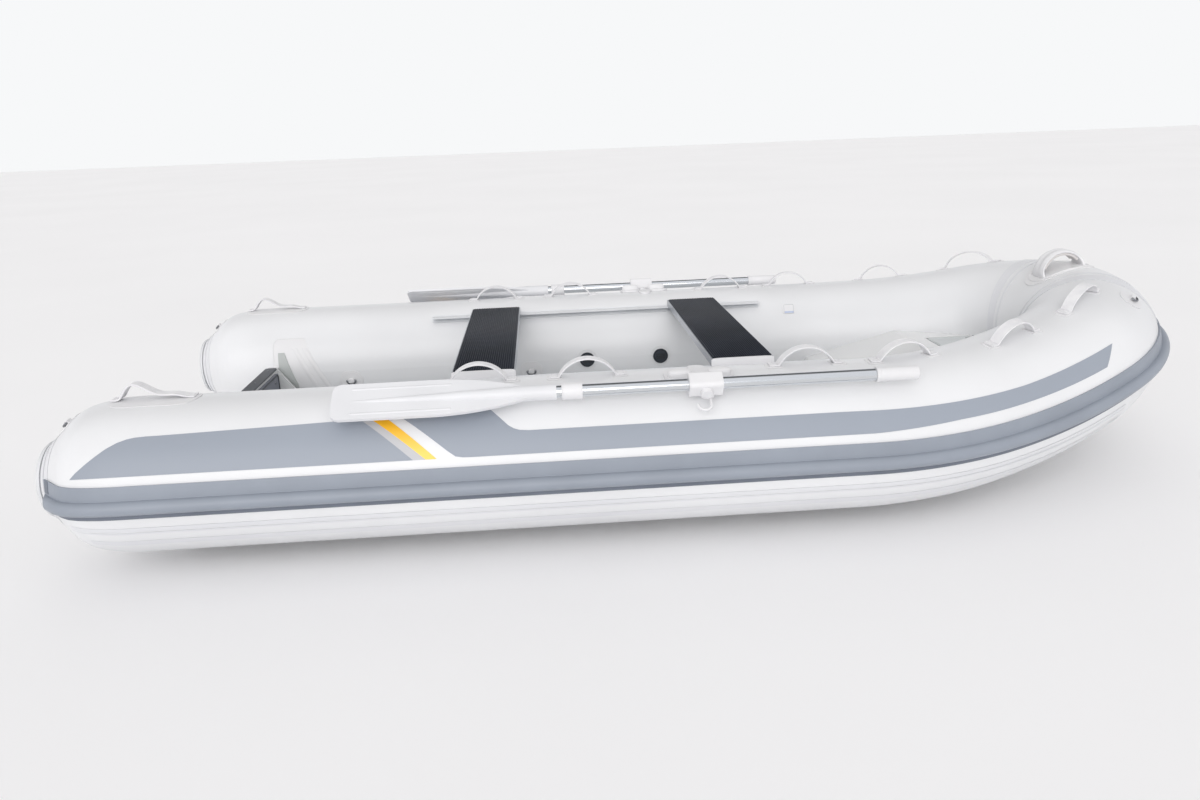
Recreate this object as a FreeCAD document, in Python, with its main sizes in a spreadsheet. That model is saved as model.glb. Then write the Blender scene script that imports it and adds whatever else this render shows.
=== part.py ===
# Inflatable boat with a rigid V hull, oars, sliding thwarts and a bow locker.
# Frame: X forward to the bow, Y to port, Z up; origin on the centreline between the ends, on the waterline.
# All sizes are in millimetres and degrees.
import FreeCAD, Part
import math
import os

Vector = FreeCAD.Vector
Placement = FreeCAD.Placement
Rotation = FreeCAD.Rotation

ALONG = Vector(1, 0, 0)
PORTWARD = Vector(0, 1, 0)
UPWARD = Vector(0, 0, 1)
HERE = Vector(0, 0, 0)
STARBOARD, PORT = -1, 1
SIDE_NAMES = {STARBOARD: "starboard", PORT: "port"}

doc = FreeCAD.newDocument("rib_boat")
sheet = doc.addObject("Spreadsheet::Sheet", "Sizes")
parts_made = []

DRIVING_SIZES = [
    # Overall and tubes; the rise is the height of the straight tubes' centre over the water
    ("bow_reach", 1800), ("tube_radius", 220), ("tube_spread", 640), ("tube_rise", 275),
    ("seat_gap", 0.3), ("cut_past", 10),
    # Bow: two long arcs each side, then the nose arc; each turn and roll in degrees
    ("bow_radius_one", 1050), ("bow_turn_one", 21), ("bow_roll_one", 12),
    ("bow_radius_two", 2350), ("bow_turn_two", 11.5), ("bow_roll_two", 48),
    # Tail cones: a short straight, two arcs, then a cone down to the cap
    ("tail_join_aft", 1450), ("tail_round_aft", 1504), ("tail_radius_one", 498), ("tail_turn_one", 12.3),
    ("tail_radius_two", 121), ("tail_turn_two", 31.3), ("tail_end_radius", 103),
    ("tail_cap_rim", 6), ("tail_cap_lip", 6), ("tail_cap_depth", 31),
    # Rub strake, heights measured round the tube from its widest line
    ("strake_depth", 28), ("strake_gap", 0.5), ("strake_band_depth", 5), ("strake_band_top", 46),
    ("strake_bulge_top", 8), ("strake_bulge_bottom", 30), ("strake_lip_bottom", 42),
    ("strake_tail_run", 74), ("strake_tip_taper", 45),
    # Hull
    ("keel_below_tube", 360), ("transom_aft", 1450), ("transom_thick", 40),
    ("transom_top_over_tube", 30), ("chine_inset", 140), ("chine_below_tube", 246),
    ("chine_least_share", 0.5), ("chine_least_rise", 12), ("flange_inset", 30), ("flange_thick", 5),
    ("flange_least_step", 4), ("hull_side_below_tube", 150), ("hull_top_share", 0.86),
    ("hull_top_over_tube", 20), ("keel_rise_from_bow", 1200), ("keel_rise_per_m2", 380),
    ("hull_nose_share", 0.6), ("hull_bow_sections", 7), ("step_below_tube", 100),
    ("keel_band_width", 40), ("keel_band_thick", 6), ("spray_rail_share", 0.52),
    ("spray_rail_width", 30), ("spray_rail_drop", 3), ("rail_root", 5),
    # Deck
    ("deck_below_tube", 185), ("deck_thick", 12), ("deck_width_share", 0.9),
    ("floor_panel_aft", 1240), ("floor_panel_locker_gap", 80), ("floor_panel_width", 780),
    ("floor_panel_thick", 3), ("floor_panel_corner", 60),
    # Transom fittings
    ("motor_pad_width", 300), ("motor_pad_height", 200), ("motor_pad_thick", 8), ("motor_pad_drop", 10),
    ("motor_board_clearance", 21), ("pad_corner", 12), ("transom_cap_clearance", 30),
    ("transom_cap_thick", 5), ("transom_cap_over", 2),
    ("knee_length", 146), ("knee_thick", 14), ("knee_spacing", 796),
    ("knee_drop", 3), ("knee_toe", 12), ("ear_angle", -90), ("ear_top", 84), ("ear_bottom", 84),
    ("ear_top_length", 24), ("ear_length", 66), ("ear_thick", 5), ("drain_radius", 19),
    ("drain_depth", 7), ("drain_below_tube", 213),
    # Bow locker
    ("locker_foot_from_bow", 1120), ("locker_knee_from_bow", 1095), ("locker_brow_from_bow", 780),
    ("locker_end_from_bow", 500),
    ("locker_toe", 60), ("locker_edge_inset", 60), ("locker_top_over_tube", 82),
    ("locker_knee_over_tube", -40), ("locker_wall", 8), ("locker_front_wall", 16),
    ("lid_length", 165), ("lid_width", 280), ("lid_thick", 16), ("lid_gap", 5), ("lid_ledge", 15),
    ("lid_corner", 24), ("lid_hinge_from_bow", 545), ("lid_slot_length", 55), ("lid_slot_width", 14),
    ("lid_slot_inset", 40), ("hinge_knuckle_radius", 5), ("hinge_pin_radius", 2), ("hinge_spacing", 160),
    ("hinge_width", 60), ("hinge_leaf", 24), ("hinge_leaf_thick", 2), ("hinge_leaf_start", 6),
    # Seat rails and thwarts
    ("seat_angle", 38), ("seat_rail_aft", 800), ("seat_rail_bend_gap", 5), ("seat_rail_base", 36),
    ("seat_rail_thick", 3), ("seat_rail_lip", 4), ("seat_rail_reach", 22), ("seat_rail_root", 6),
    ("thwart_width", 190), ("thwart_half_span", 490), ("thwart_thick", 25),
    ("thwart_below_crown", 10), ("thwart_aft_x", -543), ("thwart_fore_from_rail", 280),
    ("hook_gap", 4), ("hook_play", 2.6), ("hook_thick", 5), ("hook_reach", 14), ("hook_web", 8),
    ("tread_inset", 14), ("tread_thick", 3), ("tread_corner", 10),
    # Oars, measured along the shaft from the rowlock
    ("rowlock_x", 75), ("rowlock_angle", 34), ("oar_height", 46), ("oar_shaft_radius", 17),
    ("oar_grip_side", 595), ("oar_blade_side", 1005), ("blade_length", 600), ("blade_width", 122),
    ("blade_thick", 9), ("blade_tip_round", 26), ("blade_full_share", 0.42), ("blade_neck_share", 0.86),
    ("blade_spine_tip", 5), ("blade_spine_start", 55), ("blade_rib_radius", 6), ("blade_rib_spread", 42),
    ("blade_rib_length", 260), ("socket_wall", 5), ("socket_depth", 100),
    ("grip_length", 122), ("grip_radius", 20), ("grip_socket", 62), ("grip_round", 8),
    ("grip_collar", 1.5), ("grip_collar_length", 10),
    ("sleeve_start", 14), ("sleeve_length", 56), ("sleeve_wall", 6),
    # Rowlocks
    ("rowlock_plate_thick", 8), ("rowlock_plate_angle", 11), ("rowlock_lobe_length", 86),
    ("rowlock_lobe_width", 72), ("rowlock_lobe_spread", 112), ("rowlock_lobe_corner", 30),
    ("rowlock_bridge_width", 46), ("rowlock_bridge_length", 150), ("rowlock_post_radius", 14),
    ("clamp_length", 92), ("clamp_width", 54), ("clamp_wall", 10), ("clamp_corner", 12),
    ("knob_radius", 16), ("knob_length", 13), ("boss_radius", 13), ("boss_height", 16), ("boss_angle", 22),
    ("hook_wire", 4), ("hook_bend", 18), ("hook_stem_x", 12), ("hook_drop", 28), ("hook_sink", 5),
    # Webbing handles
    ("strap_span", 186), ("strap_rise", 52), ("strap_width", 32), ("strap_thick", 4), ("strap_foot", 26),
    ("tab_length", 46), ("tab_width", 50), ("tab_corner", 8), ("patch_thick", 2), ("bow_strap_lift", 1.5),
    ("strap_one_x", -548), ("strap_two_x", -239), ("strap_three_from_bow", 1405),
    ("strap_four_from_bow", 1110), ("strap_five_from_bow", 870), ("strap_six_from_bow", 525),
    ("carry_x", -1445), ("carry_span", 174), ("carry_rise", 46), ("carry_sag", 12),
    ("carry_pad_length", 250), ("carry_pad_width", 110),
    # Bow handle
    ("bow_handle_angle", -5), ("bow_handle_span", 156), ("bow_handle_rise", 62), ("bow_handle_width", 62),
    ("bow_handle_thick", 9), ("bow_handle_root", 40), ("bow_pad_length", 235), ("bow_pad_width", 160),
    ("bow_pad_thick", 3),
    # Rings with their pads, valves, name plate blank
    ("ring_radius", 17), ("ring_wire", 3), ("loop_length", 22), ("loop_width", 13), ("loop_wall", 2),
    ("ring_pad_length", 92), ("ring_pad_width", 76), ("tow_ring_from_bow", 253), ("tow_ring_angle", 40),
    ("cockpit_ring_aft_x", -1134), ("cockpit_ring_fore_x", -416), ("cockpit_ring_angle", -100),
    ("stern_ring_aft", 236), ("valve_aft_x", -189), ("valve_fore_x", 109), ("valve_angle", -91),
    ("valve_flange_radius", 29), ("valve_cap_radius", 20), ("valve_cap_height", 8), ("valve_flange_thick", 3),
    ("plate_from_bow", 1127), ("plate_angle", -47), ("plate_length", 52), ("plate_width", 44),
    ("plate_corner", 8),
]
for row, (alias, value) in enumerate(DRIVING_SIZES, start=1):
    sheet.set("A%d" % row, alias)
    sheet.set("B%d" % row, str(value))
    sheet.setAlias("B%d" % row, alias)
doc.recompute()


def size(alias):
    return float(sheet.get(alias))


tube_radius = size("tube_radius")
tube_spread = size("tube_spread")
tube_rise = size("tube_rise")
seat_gap = size("seat_gap")
cut_past = size("cut_past")
bow_reach = size("bow_reach")


def from_bow(name):
    """X of something placed by its distance aft of the bow."""
    return bow_reach - size(name + "_from_bow")


# Centreline of the starboard tube


class Stretch:
    """A straight run (turn 0) or an arc of the tube's centreline with the frame at its start."""

    def __init__(self, start, along, out, up, length=0.0, radius=0.0, turn=0.0, toward=None):
        self.start, self.along, self.out, self.up = start, along, out, up
        self.length, self.radius, self.turn = length, radius, turn
        if turn:
            self.centre = start + toward * radius
            self.axis = along.cross(toward)
            self.length = math.radians(turn) * radius

    def frame(self, distance):
        """Point, forward, outward and upward directions at a distance along the stretch."""
        if not self.turn:
            return self.start + self.along * distance, self.along, self.out, self.up
        spin = Rotation(self.axis, math.degrees(distance / self.radius))
        point = self.centre + spin.multVec(self.start - self.centre)
        return point, spin.multVec(self.along), spin.multVec(self.out), spin.multVec(self.up)

    def carry(self, face):
        """Solid that the face sweeps along this stretch, and the face at its far end."""
        if not self.turn:
            solid = face.extrude(self.along * self.length)
            moved = face.copy()
            moved.translate(self.along * self.length)
            return solid, moved
        solid = face.revolve(self.centre, self.axis, self.turn)
        moved = face.copy()
        moved.rotate(self.centre, self.axis, self.turn)
        return solid, moved


def bow_arcs(start, along, out, up):
    """The two long bow arcs and the nose arc, each tangent to the one before."""
    arcs = []
    for name in ("one", "two"):
        inward = UPWARD.cross(along).normalize()
        above = along.cross(inward)
        roll = math.radians(size("bow_roll_" + name))
        toward = inward * math.cos(roll) + above * math.sin(roll)
        arc = Stretch(start, along, out, up, radius=size("bow_radius_" + name),
                      turn=size("bow_turn_" + name), toward=toward)
        arcs.append(arc)
        start, along, out, up = arc.frame(arc.length)
    lean = math.asin(along.y)
    toward = (PORTWARD - along * along.y).normalize()
    arcs.append(Stretch(start, along, out, up, radius=-start.y / math.cos(lean),
                        turn=90 - math.degrees(lean), toward=toward))
    return arcs


def starboard_run():
    """Straight tube from the tail join, then the bow arcs up to the centre plane."""
    trial = bow_arcs(Vector(0, -tube_spread, tube_rise), ALONG, -PORTWARD, UPWARD)
    nose = trial[-1].frame(trial[-1].length)[0]
    bend_start = bow_reach - size("strake_depth") - tube_radius - nose.x
    start = Vector(-size("tail_join_aft"), -tube_spread, tube_rise)
    straight = Stretch(start, ALONG, -PORTWARD, UPWARD, length=bend_start - start.x)
    return [straight] + bow_arcs(Vector(bend_start, -tube_spread, tube_rise), ALONG, -PORTWARD, UPWARD)


RUN = starboard_run()
STRAIGHT, ARC_ONE, ARC_TWO, NOSE = RUN
RUN_LENGTH = sum(stretch.length for stretch in RUN)


def frame_at(distance):
    """Frame of the starboard centreline at a distance forward of the tail join."""
    for stretch in RUN:
        if distance <= stretch.length or stretch is NOSE:
            return stretch.frame(distance)
        distance -= stretch.length


def distance_at(x):
    """Distance along the centreline at which it passes the given X."""
    low, high = 0.0, RUN_LENGTH
    for step in range(50):
        middle = (low + high) / 2
        if frame_at(middle)[0].x < x:
            low = middle
        else:
            high = middle
    return low


def mirrored(shape):
    return shape.mirror(HERE, PORTWARD)


def on_side(shape, side):
    return shape if side == STARBOARD else mirrored(shape)


def framed(origin, along, normal):
    """Placement with local X along and local Z on the normal."""
    across = normal.cross(along)
    return Placement(FreeCAD.Matrix(along.x, across.x, normal.x, origin.x,
                                    along.y, across.y, normal.y, origin.y,
                                    along.z, across.z, normal.z, origin.z, 0, 0, 0, 1))


def seat_on_tube(distance, angle, height=0.0):
    """Placement on the starboard tube: local X forward, local Z out of the tube.
    The angle is measured round the tube from its top, outboard positive."""
    point, along, out, up = frame_at(distance)
    lean = math.radians(angle)
    normal = up * math.cos(lean) + out * math.sin(lean)
    return framed(point + normal * (tube_radius + height), along, normal)


def carried(face, stretches):
    solids = []
    for stretch in stretches:
        solid, face = stretch.carry(face)
        solids.append(solid)
    joined = solids[0] if len(solids) == 1 else solids[0].multiFuse(solids[1:]).removeSplitter()
    return upright(joined)


def upright(shape):
    """The same shape with its volume counted as positive."""
    if shape.Volume < 0:
        shape.reverse()
    return shape


def disc(point, normal, radius):
    return Part.Face(Part.Wire(Part.makeCircle(radius, point, normal)))


def placed(shape, placement):
    moved = shape.copy()
    moved.Placement = placement.multiply(moved.Placement)
    return moved


def largest(shape):
    return max(shape.Solids, key=lambda solid: solid.Volume)


# Document helpers


def keep(item, label):
    item.Label = label
    parts_made.append(item)
    return item


def feature(label, shape):
    item = doc.addObject("Part::Feature", label)
    item.Shape = shape
    return keep(item, label)


def new_body(label):
    body = doc.addObject("PartDesign::Body", label)
    return keep(body, label)


def origin_plane(body, role):
    return next(item for item in body.Origin.OriginFeatures if item.Role == role)


def outline_edges(points):
    """Edges round 2-D points; an entry of four numbers is an arc by its middle and end."""
    edges = []
    current = points[0]
    for entry in points[1:] + [points[0]]:
        target = entry[-2:]
        first = Vector(current[0], current[1], 0)
        last = Vector(target[0], target[1], 0)
        if len(entry) == 4:
            edges.append(Part.Arc(first, Vector(entry[0], entry[1], 0), last))
        elif first.distanceToPoint(last) > 1e-6:
            edges.append(Part.LineSegment(first, last))
        current = target
    return edges


def outline_sketch(body, name, role, points, extra=()):
    sketch = body.newObject("Sketcher::SketchObject", name)
    sketch.AttachmentSupport = [(origin_plane(body, role), "")]
    sketch.MapMode = "FlatFace"
    sketch.addGeometry(outline_edges(points), False)
    for inner in extra:
        sketch.addGeometry(inner, False)
    return sketch


def padded(body, name, sketch, length_rule, midplane=False):
    pad = body.newObject("PartDesign::Pad", name)
    pad.Profile = sketch
    pad.setExpression("Length", length_rule)
    pad.SideType = "Symmetric" if midplane else "One side"
    return pad


def revolved(body, name, sketch, axis="V_Axis"):
    turn = body.newObject("PartDesign::Revolution", name)
    turn.Profile = sketch
    turn.ReferenceAxis = (sketch, [axis])
    turn.Angle = 360
    return turn


def flat_face(points, placement=None):
    edges = [item.toShape() for item in outline_edges(points)]
    face = Part.Face(Part.Wire(edges))
    if placement:
        face.Placement = placement
    return face


def rounded_rectangle(length, width, corner):
    """Outline centred on the origin with round corners."""
    a, b, r = length / 2, width / 2, min(corner, length / 2 - 1, width / 2 - 1)
    k = r * (1 - math.sqrt(0.5))
    return [(-a + r, -b), (a - r, -b), (a - k, -b + k, a, -b + r), (a, b - r),
            (a - k, b - k, a - r, b), (-a + r, b), (-a + k, b - k, -a, b - r), (-a, -b + r),
            (-a + k, -b + k, -a + r, -b)]


def oval(length, width):
    """Outline of a slot shape with fully round ends."""
    return rounded_rectangle(length, width, min(length, width) / 2)


def prism_through(outline, placement, reach):
    """Prism of the outline that passes the placed surface by the reach on both sides."""
    solid = flat_face(outline).extrude(UPWARD * 2 * reach)
    solid.translate(UPWARD * -reach)
    return placed(solid, placement)


# Layers that lie on the tubes


def tube_core(extra):
    """The starboard tube grown by a thickness, over its whole run."""
    return carried(disc(STRAIGHT.start, ALONG, tube_radius + extra), RUN)


def tube_skin(thick):
    """Layer of the given thickness lying on the starboard tube."""
    return tube_core(seat_gap + thick).cut(tube_core(seat_gap))


def nose_core(extra):
    half = carried(disc(NOSE.start, NOSE.along, tube_radius + extra), [NOSE])
    return upright(half.fuse(mirrored(half)).removeSplitter())


def both_sides(solids):
    return Part.Compound([on_side(solid, side) for side in (STARBOARD, PORT) for solid in solids])


# Tubes, tails and end caps


def make_tubes():
    side_shape = carried(disc(STRAIGHT.start, ALONG, tube_radius), [STRAIGHT, ARC_ONE, ARC_TWO])
    for side in (STARBOARD, PORT):
        feature("tube_" + SIDE_NAMES[side], on_side(side_shape, side))
    feature("tube_bow", nose_core(0.0))


tail_straight = size("tail_round_aft") - size("tail_join_aft")
tail_angle_one = math.radians(size("tail_turn_one"))
tail_angle_end = math.radians(size("tail_turn_one") + size("tail_turn_two"))


def tail_profile(extra=0.0):
    """Tail outline as (radius, distance aft of the join) corners: straight, two arcs and a cone."""
    radius_one, radius_two = size("tail_radius_one"), size("tail_radius_two")
    centre_one = (tube_radius - radius_one, tail_straight)
    spread = radius_one - radius_two
    centre_two = (centre_one[0] + spread * math.cos(tail_angle_one),
                  centre_one[1] + spread * math.sin(tail_angle_one))

    def on_arc(centre, radius, angle):
        reach = radius + extra
        return (centre[0] + reach * math.cos(angle), centre[1] + reach * math.sin(angle))

    middle_two = (tail_angle_one + tail_angle_end) / 2
    first = (on_arc(centre_one, radius_one, tail_angle_one / 2)
             + on_arc(centre_one, radius_one, tail_angle_one))
    second = (on_arc(centre_two, radius_two, middle_two)
              + on_arc(centre_two, radius_two, tail_angle_end))
    slant = ((second[2] - extra * math.cos(tail_angle_end) - size("tail_end_radius"))
             / math.sin(tail_angle_end))
    end = (second[2] - slant * math.sin(tail_angle_end), second[3] + slant * math.cos(tail_angle_end))
    return [(tube_radius + extra, 0), (tube_radius + extra, tail_straight), first, second, end]


def tail_placement(side):
    aft = Rotation(UPWARD, -ALONG)
    return Placement(Vector(-size("tail_join_aft"), side * tube_spread, tube_rise), aft)


def tail_core(extra):
    """Starboard tail grown by a thickness."""
    profile = tail_profile(extra)
    face = flat_face([(0, 0)] + profile + [(0, profile[-1][1])], Placement(HERE, Rotation(ALONG, 90)))
    return placed(upright(face.revolve(HERE, UPWARD, 360)), tail_placement(STARBOARD))


def seat_on_tail(aft, height=0.0):
    """Placement on top of the starboard tail's cone at a distance aft of the join."""
    end_radius, end_aft = tail_profile()[-1]
    radius = end_radius + (end_aft - aft) * math.tan(tail_angle_end)
    normal = UPWARD * math.cos(tail_angle_end) - ALONG * math.sin(tail_angle_end)
    forward = ALONG * math.cos(tail_angle_end) + UPWARD * math.sin(tail_angle_end)
    origin = STRAIGHT.start - ALONG * aft + UPWARD * radius
    return framed(origin + normal * height, forward, normal)


def make_tails():
    profile = tail_profile()
    cap_start = profile[-1][1] + seat_gap
    rim = size("tail_cap_rim")
    dome = size("tail_cap_depth")
    edge = size("tail_end_radius") + size("tail_cap_lip")
    dome_radius = (edge ** 2 + (dome - rim) ** 2) / 2 / (dome - rim)
    mid_height = dome - dome_radius + math.sqrt(dome_radius ** 2 - edge ** 2 / 4)
    for side in (STARBOARD, PORT):
        name = SIDE_NAMES[side]
        tail = new_body("tail_cone_" + name)
        points = [(0, 0)] + profile + [(0, profile[-1][1])]
        outline = outline_sketch(tail, "tail_outline_" + name, "XZ_Plane", points)
        revolved(tail, "turned_tail_" + name, outline)
        cap = new_body("tail_cap_" + name)
        points = [(0, cap_start), (edge, cap_start), (edge, cap_start + rim),
                  (edge / 2, cap_start + mid_height, 0, cap_start + dome)]
        revolved(cap, "turned_cap_" + name, outline_sketch(cap, "cap_outline_" + name, "XZ_Plane", points))
        for body in (tail, cap):
            body.Placement = tail_placement(side)


# Rub strake


def strake_face():
    """Section of the strake at the tail join: a flat band above, a round bulge, a thin lip below."""
    inner = tube_radius + size("strake_gap")
    band = inner + size("strake_band_depth")
    bulge = tube_radius + size("strake_depth")

    def at(radius, height):
        angle = height / tube_radius
        return Vector(STRAIGHT.start.x, -tube_spread - radius * math.cos(angle),
                      tube_rise + radius * math.sin(angle))

    top, crease = size("strake_band_top"), size("strake_bulge_top")
    low, lip = -size("strake_bulge_bottom"), -size("strake_lip_bottom")
    edges = [
        Part.Arc(at(inner, lip), at(inner, (lip + top) / 2), at(inner, top)).toShape(),
        Part.LineSegment(at(inner, top), at(band, top)).toShape(),
        Part.Arc(at(band, top), at(band, (top + crease) / 2), at(band, crease)).toShape(),
        Part.Arc(at(band, crease), at(bulge, (crease + low) / 2), at(band, low)).toShape(),
        Part.Arc(at(band, low), at(band, (low + lip) / 2), at(band, lip)).toShape(),
        Part.LineSegment(at(band, lip), at(inner, lip)).toShape(),
    ]
    return Part.Face(Part.Wire(edges))


def tail_strake(face):
    """The strake round the tail, along its two arcs and the cone, with its end cut on a slant."""
    aft_run = Stretch(STRAIGHT.start, -ALONG, -PORTWARD, UPWARD, length=tail_straight)
    stretches = [aft_run]
    point, along, out, up = aft_run.frame(tail_straight)
    for name in ("one", "two"):
        arc = Stretch(point, along, out, up, radius=size("tail_radius_" + name) - tube_radius,
                      turn=size("tail_turn_" + name), toward=-out)
        stretches.append(arc)
        point, along, out, up = arc.frame(arc.length)
    end = Stretch(point, along, out, up, length=size("strake_tail_run"))
    stretches.append(end)
    strake = carried(face, stretches)
    point, along, out, up = end.frame(end.length)
    corner = point + out * tube_radius
    normal = (along * size("strake_depth") + out * size("strake_tip_taper")).normalize()
    reach = size("strake_tail_run") + size("strake_band_top")
    trim = Part.makeBox(2 * reach, 2 * reach, reach, Vector(-reach, -reach, 0))
    return strake.cut(placed(trim, framed(corner, up, normal)))


def make_strakes():
    face = strake_face()
    forward = [STRAIGHT, ARC_ONE, ARC_TWO]
    whole = upright(carried(face, forward).fuse(tail_strake(face)).removeSplitter())
    for side in (STARBOARD, PORT):
        feature("rub_strake_" + SIDE_NAMES[side], on_side(whole, side))
    for stretch in forward:
        face = stretch.carry(face)[1]
    nose = carried(face, [NOSE])
    feature("rub_strake_bow", upright(nose.fuse(mirrored(nose)).removeSplitter()))


# Hull, deck and transom


def keel_height(x):
    rise = max(0.0, x - from_bow("keel_rise"))
    return tube_rise - size("keel_below_tube") + size("keel_rise_per_m2") * (rise / 1000) ** 2


def chine_at(tube_y, tube_z, keel):
    return (max(tube_y - size("chine_inset"), tube_y * size("chine_least_share")),
            max(tube_z - size("chine_below_tube"), keel + size("chine_least_rise")))


def hull_section(x, tube_y, tube_z):
    """Closed V section at X between the tubes, from the keel to inside the tubes."""
    keel = keel_height(x)
    chine_y, chine_z = chine_at(tube_y, tube_z, keel)
    flange_y = tube_y - size("flange_inset")
    flange_z = max(tube_z - tube_radius - size("flange_thick"), chine_z + size("flange_least_step"))
    top_z = tube_z + size("hull_top_over_tube")
    half = [(chine_y, chine_z), (flange_y, flange_z), (flange_y, tube_z - size("hull_side_below_tube")),
            (tube_y * size("hull_top_share"), top_z)]
    right = [Vector(x, -y, z) for y, z in half]
    left = [Vector(x, y, z) for y, z in reversed(half)]
    ring = [Vector(x, 0, keel)] + right + [Vector(x, 0, top_z)] + left
    return Part.makePolygon(ring + [ring[0]])


def spray_rail_section(x, tube_y, tube_z):
    """Wedge under the starboard bottom panel, flat below and upright on its outer side."""
    keel = keel_height(x)
    chine_y, chine_z = chine_at(tube_y, tube_z, keel)
    slope = (chine_z - keel) / chine_y
    inner = chine_y * size("spray_rail_share")
    outer = inner + size("spray_rail_width")
    low = keel + slope * inner - size("spray_rail_drop")
    corners = [(inner, low), (outer, low), (outer, keel + slope * outer + size("rail_root")),
               (inner, keel + slope * inner + size("rail_root"))]
    ring = [Vector(x, -y, z) for y, z in corners]
    return Part.makePolygon(ring + [ring[0]])


def keel_band_section(x, tube_y, tube_z):
    """Flat band along the keel."""
    keel = keel_height(x)
    chine_y, chine_z = chine_at(tube_y, tube_z, keel)
    half = size("keel_band_width") / 2
    top = keel + (chine_z - keel) * half / chine_y + size("rail_root")
    low = keel - size("keel_band_thick")
    ring = [Vector(x, -half, low), Vector(x, half, low), Vector(x, half, top), Vector(x, -half, top)]
    return Part.makePolygon(ring + [ring[0]])


def along_hull(section):
    """Straight run from the transom to the bend, then a smooth loft along the bow."""
    aft = frame_at(distance_at(-size("transom_aft") + size("transom_thick")))[0]
    bow_length = ARC_ONE.length + ARC_TWO.length + NOSE.length * size("hull_nose_share")
    count = int(size("hull_bow_sections"))
    picks = [STRAIGHT.length + bow_length * step / count for step in range(count + 1)]
    points = [ARC_ONE.start] + [frame_at(pick)[0] for pick in picks[1:]]
    straight = Part.makeLoft([section(p.x, -p.y, p.z) for p in (aft, ARC_ONE.start)], True, True)
    bow = Part.makeLoft([section(p.x, -p.y, p.z) for p in points], True, False)
    return straight.fuse(bow)


def box_between(x0, x1, half_width, z0, z1):
    return Part.makeBox(x1 - x0, 2 * half_width, z1 - z0, Vector(x0, -half_width, z0))


deck_top = tube_rise - size("deck_below_tube")
deck_bottom = deck_top - size("deck_thick")
step_top = tube_rise - size("step_below_tube")
locker_foot = from_bow("locker_foot")
transom_front = -size("transom_aft") + size("transom_thick")
transom_top = tube_rise + size("transom_top_over_tube")


def make_hull(tubes):
    rail = along_hull(spray_rail_section)
    envelope = along_hull(hull_section).multiFuse([rail, mirrored(rail), along_hull(keel_band_section)])
    cockpit = box_between(-bow_reach, locker_foot, tube_spread, deck_bottom, bow_reach)
    fore = box_between(locker_foot, from_bow("locker_end"), tube_spread, step_top, bow_reach)
    feature("hull", largest(envelope.cut(cockpit).cut(fore).cut(tubes)))
    half_deck = tube_spread * size("deck_width_share")
    plate = box_between(transom_front, locker_foot, half_deck, deck_bottom, deck_top)
    feature("deck", largest(plate.cut(tubes)))
    panel = new_body("floor_panel")
    panel_fore = locker_foot - size("floor_panel_locker_gap")
    length = panel_fore + size("floor_panel_aft")
    sketch = outline_sketch(panel, "floor_panel_outline", "XY_Plane",
                            rounded_rectangle(length, size("floor_panel_width"), size("floor_panel_corner")))
    padded(panel, "floor_panel_sheet", sketch, "Sizes.floor_panel_thick")
    middle = (panel_fore - size("floor_panel_aft")) / 2
    panel.Placement = Placement(Vector(middle, 0, deck_top), Rotation())


def transom_plate(tubes):
    chine_y, chine_z = chine_at(tube_spread, tube_rise, keel_height(-size("transom_aft")))
    flange_z = tube_rise - tube_radius - size("flange_thick")
    wide = tube_spread - size("flange_inset")
    points = [(0, keel_height(-size("transom_aft"))), (chine_y, chine_z), (wide, flange_z),
              (wide, transom_top), (-wide, transom_top), (-wide, flange_z), (-chine_y, chine_z)]
    face = Part.Face(Part.makePolygon([Vector(-size("transom_aft"), y, z) for y, z in points + points[:1]]))
    return largest(face.extrude(ALONG * size("transom_thick")).cut(tubes))


def make_transom(tubes):
    feature("transom", transom_plate(tubes))
    middle = transom_top - size("motor_pad_drop") - size("motor_pad_height") / 2
    board = size("knee_spacing") - size("knee_thick") - 2 * size("motor_board_clearance")
    outer_x = -size("transom_aft") - size("motor_pad_thick")
    for name, x, width in (("inner", transom_front, board), ("outer", outer_x, size("motor_pad_width"))):
        body = new_body("motor_pad_" + name)
        sketch = outline_sketch(body, "pad_outline_" + name, "YZ_Plane",
                                rounded_rectangle(width, size("motor_pad_height"), size("pad_corner")))
        padded(body, "pad_plate_" + name, sketch, "Sizes.motor_pad_thick")
        body.Placement = Placement(Vector(x, 0, middle), Rotation())
    cap = new_body("transom_cap")
    over = size("transom_cap_over")
    span = 2 * (tube_spread - tube_radius - size("transom_cap_clearance"))
    points = rounded_rectangle(size("transom_thick") + 2 * over, span, size("pad_corner"))
    padded(cap, "cap_strip", outline_sketch(cap, "cap_strip_outline", "XY_Plane", points),
           "Sizes.transom_cap_thick")
    cap.Placement = Placement(Vector(transom_front - size("transom_thick") / 2, 0, transom_top), Rotation())
    drain = new_body("drain_plug")
    radius, depth = size("drain_radius"), size("drain_depth")
    points = [(0, 0), (radius, 0), (radius, depth / 2), (radius * 0.7, depth / 2), (radius * 0.7, depth),
              (0, depth)]
    revolved(drain, "turned_drain", outline_sketch(drain, "drain_outline", "XZ_Plane", points))
    drain.Placement = Placement(Vector(-size("transom_aft"), 0, tube_rise - size("drain_below_tube")),
                                Rotation(UPWARD, -ALONG))


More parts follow.
